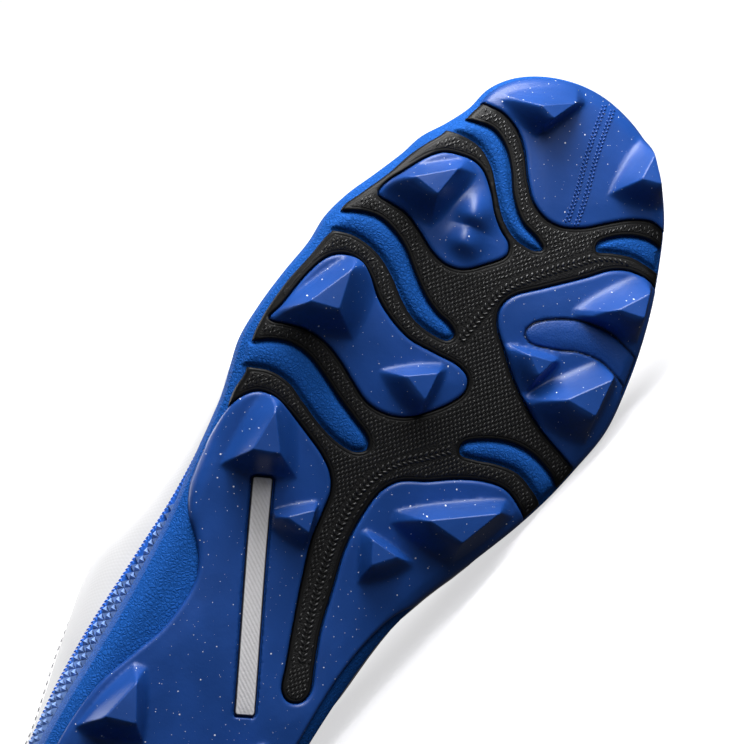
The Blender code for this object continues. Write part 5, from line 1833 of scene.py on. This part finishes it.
class CLEAT_OT_insole(bpy.types.Operator):
    """Make the cupped insole"""

    bl_idname = "cleat.insole"
    bl_label = "Insole"

    def execute(self, context):
        loop = even_loop(grow(smooth_loop(upper_foot(), 2.0), -WALL - 0.4), 2.0)
        loose = [fill(3.0, INSOLE_BOX, lambda p: depth(p, loop) > 1.6)]
        loose += [ring_points(loop, -0.5), ring_points(loop, -1.2)]
        flat, tris = triangulate([loop], [], [], np.vstack(loose))
        low = top_of_foam(flat[:, 0]) + GAP + 0.15
        d = np.clip(depth(flat, loop), 0, None)
        heel = 1 - smoothstep(60, 120, flat[:, 0])
        edge = 1.6 * heel * (1 - smoothstep(0.5, 9, d)) - 0.9 * (1 - smoothstep(0, 1.2, d))
        high = low + INSOLE_THICK + edge
        n = len(flat)
        verts = np.vstack([np.column_stack([flat, low]), np.column_stack([flat, high])])
        faces = [(t[2], t[1], t[0]) for t in tris.tolist()]
        faces += [(t[0] + n, t[1] + n, t[2] + n) for t in tris.tolist()]
        faces += [(a, b, b + n, a + n) for a, b in rim_edges(tris.tolist())]
        cloth = lining_finish(context.scene.cleat_colours, "insole_cloth", 1.5)
        piece = add_piece("insole_bed", verts, faces, [cloth], ("insole",))
        return {"FINISHED"}


class CLEAT_OT_lacing(bpy.types.Operator):
    """Make the flat lace through its eyelets"""

    bl_idname = "cleat.lacing"
    bl_label = "Lace and eyelets"

    def execute(self, context):
        sizes = context.scene.cleat_upper
        colours = context.scene.cleat_colours
        shell = bpy.data.objects["upper_shell"]
        graph = bpy.context.evaluated_depsgraph_get()
        tree = BVHTree.FromObject(shell, graph)
        up = Vector(TURNED @ np.array([0, 0, 1.0]))
        holes = []
        for x, out in EYELETS:
            mid = float(pchip(TONGUE, 1, x))
            half = float(pchip(TONGUE, 2, x))
            pair = []
            for side in (-1, 1):
                start = Vector(lay([(x, mid + side * (half + out), 140.0)])[0])
                hit = tree.ray_cast(start, -up)
                if hit[0] is None:
                    raise RuntimeError("an eyelet found no flap under it")
                pair.append((stand([hit[0]])[0], np.array(hit[1]) @ TURNED))
            holes.append(pair)
        spots = np.array([p + n * 0.15 for pair in holes for p, n in pair])
        normal = np.array([n for pair in holes for _, n in pair])
        along = np.tile((1.0, 0, 0), (len(spots), 1))
        scatter("eyelets", "ring", spots, along, normal, EYELET_RING, eyelet_finish())
        runs = [(holes[-1][0], holes[-1][1], 0.0)]
        for low, high in zip(holes[1:], holes[:-1]):
            runs.append((low[0], high[1], 0.0))
            runs.append((low[1], high[0], 1.0))
        verts, faces = [], []
        for a, b, over in runs:
            self.strap(a, b, over, sizes, verts, faces)
        add_piece("lace_runs", np.array(verts), faces, [lace_finish(colours)], ("lace",))
        return {"FINISHED"}

    def strap(self, start, end, over, sizes, verts, faces):
        """One flat run of lace from eyelet to eyelet, its ends dipping into the holes."""
        (a, na), (b, nb) = start, end
        wide = sizes.lace_width / MM
        thick = sizes.lace_thick / MM
        path, width = [], []
        for s in np.linspace(0, 1, 41):
            p = a[:2] + (b[:2] - a[:2]) * s
            z = float(lace_low(p[0], p[1])) + thick * 0.5
            hump = over * 1.25 * math.exp(-((s - 0.5) / 0.17) ** 2)
            path.append((p[0], p[1], z + hump))
            end_gap = min(s, 1 - s) * np.linalg.norm(b[:2] - a[:2])
            width.append(wide * (0.52 + 0.48 * float(smoothstep(1.0, 7.0, end_gap))))
        path = np.array(path)
        for (p, n), ends in ((start, range(6)), (end, range(-1, -7, -1))):
            for i, j in enumerate(ends):
                share = (1 - i / 6) ** 2
                path[j] = path[j] * (1 - share) + (p + n * LACE_LIFT) * share
        path = np.vstack([a - na * LACE_DIP, path, b - nb * LACE_DIP])
        width = [wide * 0.5] + width + [wide * 0.5]
        flat_way = unit(np.array([-(b - a)[1], (b - a)[0], 0.0]))
        section = np.linspace(0, 2 * math.pi, 16, endpoint=False)
        faces.extend(tube_faces(len(path), len(section), len(verts)))
        for p, w, t in zip(path, width, unit(np.gradient(path, axis=0))):
            e1 = unit(flat_way - t * np.dot(flat_way, t))
            e2 = np.cross(t, e1)
            for angle in section:
                c = blunt(math.cos(angle), 0.7)
                s = blunt(math.sin(angle), 0.7)
                verts.append(p + e1 * c * w / 2 + e2 * s * thick / 2)


class CLEAT_OT_stage(bpy.types.Operator):
    """Make the floor, the light and the camera"""

    bl_idname = "cleat.stage"
    bl_label = "Stage"

    def execute(self, context):
        stage = context.scene.cleat_stage
        self.floor(stage)
        self.lights(context, stage)
        self.camera(context)
        return {"FINISHED"}

    def floor(self, stage):
        """Round floor that curves up far away."""
        profile = [(0.02, 0.0), (0.3, 0.0), (1.0, 0.0), (2.0, 0.0), (3.2, 0.0)]
        for a in np.linspace(0.1, 1.0, 10) * math.pi / 2:
            profile.append((3.2 + 1.4 * math.sin(a), 1.4 * (1 - math.cos(a))))
        profile.append((4.6, 3.6))
        around = 96
        verts, faces = [], []
        for r, z in profile:
            for k in range(around):
                a = 2 * math.pi * k / around
                verts.append((r * math.cos(a), r * math.sin(a), z))
        for i in range(len(profile) - 1):
            for k in range(around):
                j = (k + 1) % around
                faces.append((i * around + k, (i + 1) * around + k, (i + 1) * around + j, i * around + j))
        faces.append(tuple(range(around)))
        mesh = bpy.data.meshes.new("studio_floor")
        mesh.from_pydata(verts, [], faces)
        mesh.polygons.foreach_set("use_smooth", [True] * len(mesh.polygons))
        mesh.materials.append(floor_finish(stage.floor))
        mesh.update()
        floor = bpy.data.objects.new("studio_floor", mesh)
        bpy.context.scene.collection.objects.link(floor)
        floor.visible_diffuse = False
        floor.visible_glossy = False

    def lights(self, context, stage):
        """Three square lights that the camera does not see, and an even sky."""
        for name, place, aim, size, power in (
            ("key_light", (0.52, -0.17, 0.56), (0.15, -0.03, 0.06), 0.5, stage.key),
            ("fill_light", (0.52, -0.64, 0.41), (0.12, -0.04, 0.05), 0.45, stage.fill),
            ("back_light", (-0.5, 1.5, 0.9), (0.0, 0.0, 0.05), 1.2, stage.back),
        ):
            light = bpy.data.lights.new(name, "AREA")
            light.energy = power
            light.shape = "RECTANGLE"
            light.size = size
            light.size_y = size
            obj = bpy.data.objects.new(name, light)
            obj.location = place
            obj.rotation_euler = (Vector(aim) - Vector(place)).to_track_quat("-Z", "Y").to_euler()
            obj.visible_camera = False
            context.scene.collection.objects.link(obj)
        world = bpy.data.worlds.new("studio")
        world.use_nodes = True
        sky = world.node_tree.nodes["Background"]
        sky.inputs["Color"].default_value = (1, 1, 1, 1)
        sky.inputs["Strength"].default_value = stage.sky
        context.scene.world = world
        context.scene.view_settings.view_transform = "Standard"

    def camera(self, context):
        """Camera at the photo's angle: the sole's tilt to it, its roll and its distance."""
        roll, side, end = (math.radians(v) for v in (VIEW_ROLL, VIEW_SIDE, VIEW_END))
        look = -Vector((-math.sin(end), -math.sin(side) * math.cos(end), -math.cos(side) * math.cos(end)))
        along = (Vector((1, 0, 0)) - look * look.x).normalized()
        across = look.cross(along)
        right = along * math.cos(roll) + across * math.sin(roll)
        up = along * math.sin(roll) - across * math.cos(roll)
        far = VIEW_FAR / MM_PER_PIXEL
        half = FRAME_PIXELS / 2
        ray = look * far + right * (AIM_PIXEL[0] - half) - up * (AIM_PIXEL[1] - half)
        place = Vector(AIM_POINT) - ray / far * VIEW_FAR
        turn = PLACE.to_3x3()
        axes = Matrix((turn @ right, turn @ up, -(turn @ look))).transposed().to_4x4()
        data = bpy.data.cameras.new("camera")
        data.sensor_width = 36.0
        data.lens = 36.0 * far / FRAME_PIXELS
        data.clip_end = 50.0
        cam = bpy.data.objects.new("camera", data)
        cam.matrix_world = Matrix.Translation((PLACE @ place) * MM) @ axes
        context.scene.collection.objects.link(cam)
        context.scene.camera = cam


OPERATORS = (
    CLEAT_OT_stage, CLEAT_OT_midsole, CLEAT_OT_web, CLEAT_OT_plates, CLEAT_OT_inlay, CLEAT_OT_band,
    CLEAT_OT_upper, CLEAT_OT_tongue, CLEAT_OT_insole, CLEAT_OT_lacing,
)
SETTINGS = {
    "cleat_sole": SoleSettings,
    "cleat_upper": UpperSettings,
    "cleat_colours": ColourSettings,
    "cleat_stage": StageSettings,
}


class CLEAT_PT_panel(bpy.types.Panel):
    """Sidebar panel that lists the cleat's settings and steps"""

    bl_idname = "CLEAT_PT_panel"
    bl_label = "Football cleat"
    bl_space_type = "VIEW_3D"
    bl_region_type = "UI"
    bl_category = "Cleat"

    def draw(self, context):
        for group in SETTINGS:
            settings = getattr(context.scene, group)
            box = self.layout.box()
            for key in settings.__annotations__:
                box.prop(settings, key)
        for operator in OPERATORS:
            self.layout.operator(operator.bl_idname)


def register():
    for group in SETTINGS.values():
        bpy.utils.register_class(group)
    for name, group in SETTINGS.items():
        setattr(bpy.types.Scene, name, PointerProperty(type=group))
    for operator in OPERATORS:
        bpy.utils.register_class(operator)
    bpy.utils.register_class(CLEAT_PT_panel)


def unregister():
    bpy.utils.unregister_class(CLEAT_PT_panel)
    for operator in reversed(OPERATORS):
        bpy.utils.unregister_class(operator)
    for name in SETTINGS:
        delattr(bpy.types.Scene, name)
    for group in SETTINGS.values():
        bpy.utils.unregister_class(group)


def main():
    register()
    for operator in OPERATORS:
        family, step = operator.bl_idname.split(".")
        getattr(getattr(bpy.ops, family), step)()


if __name__ == "__main__":
    main()
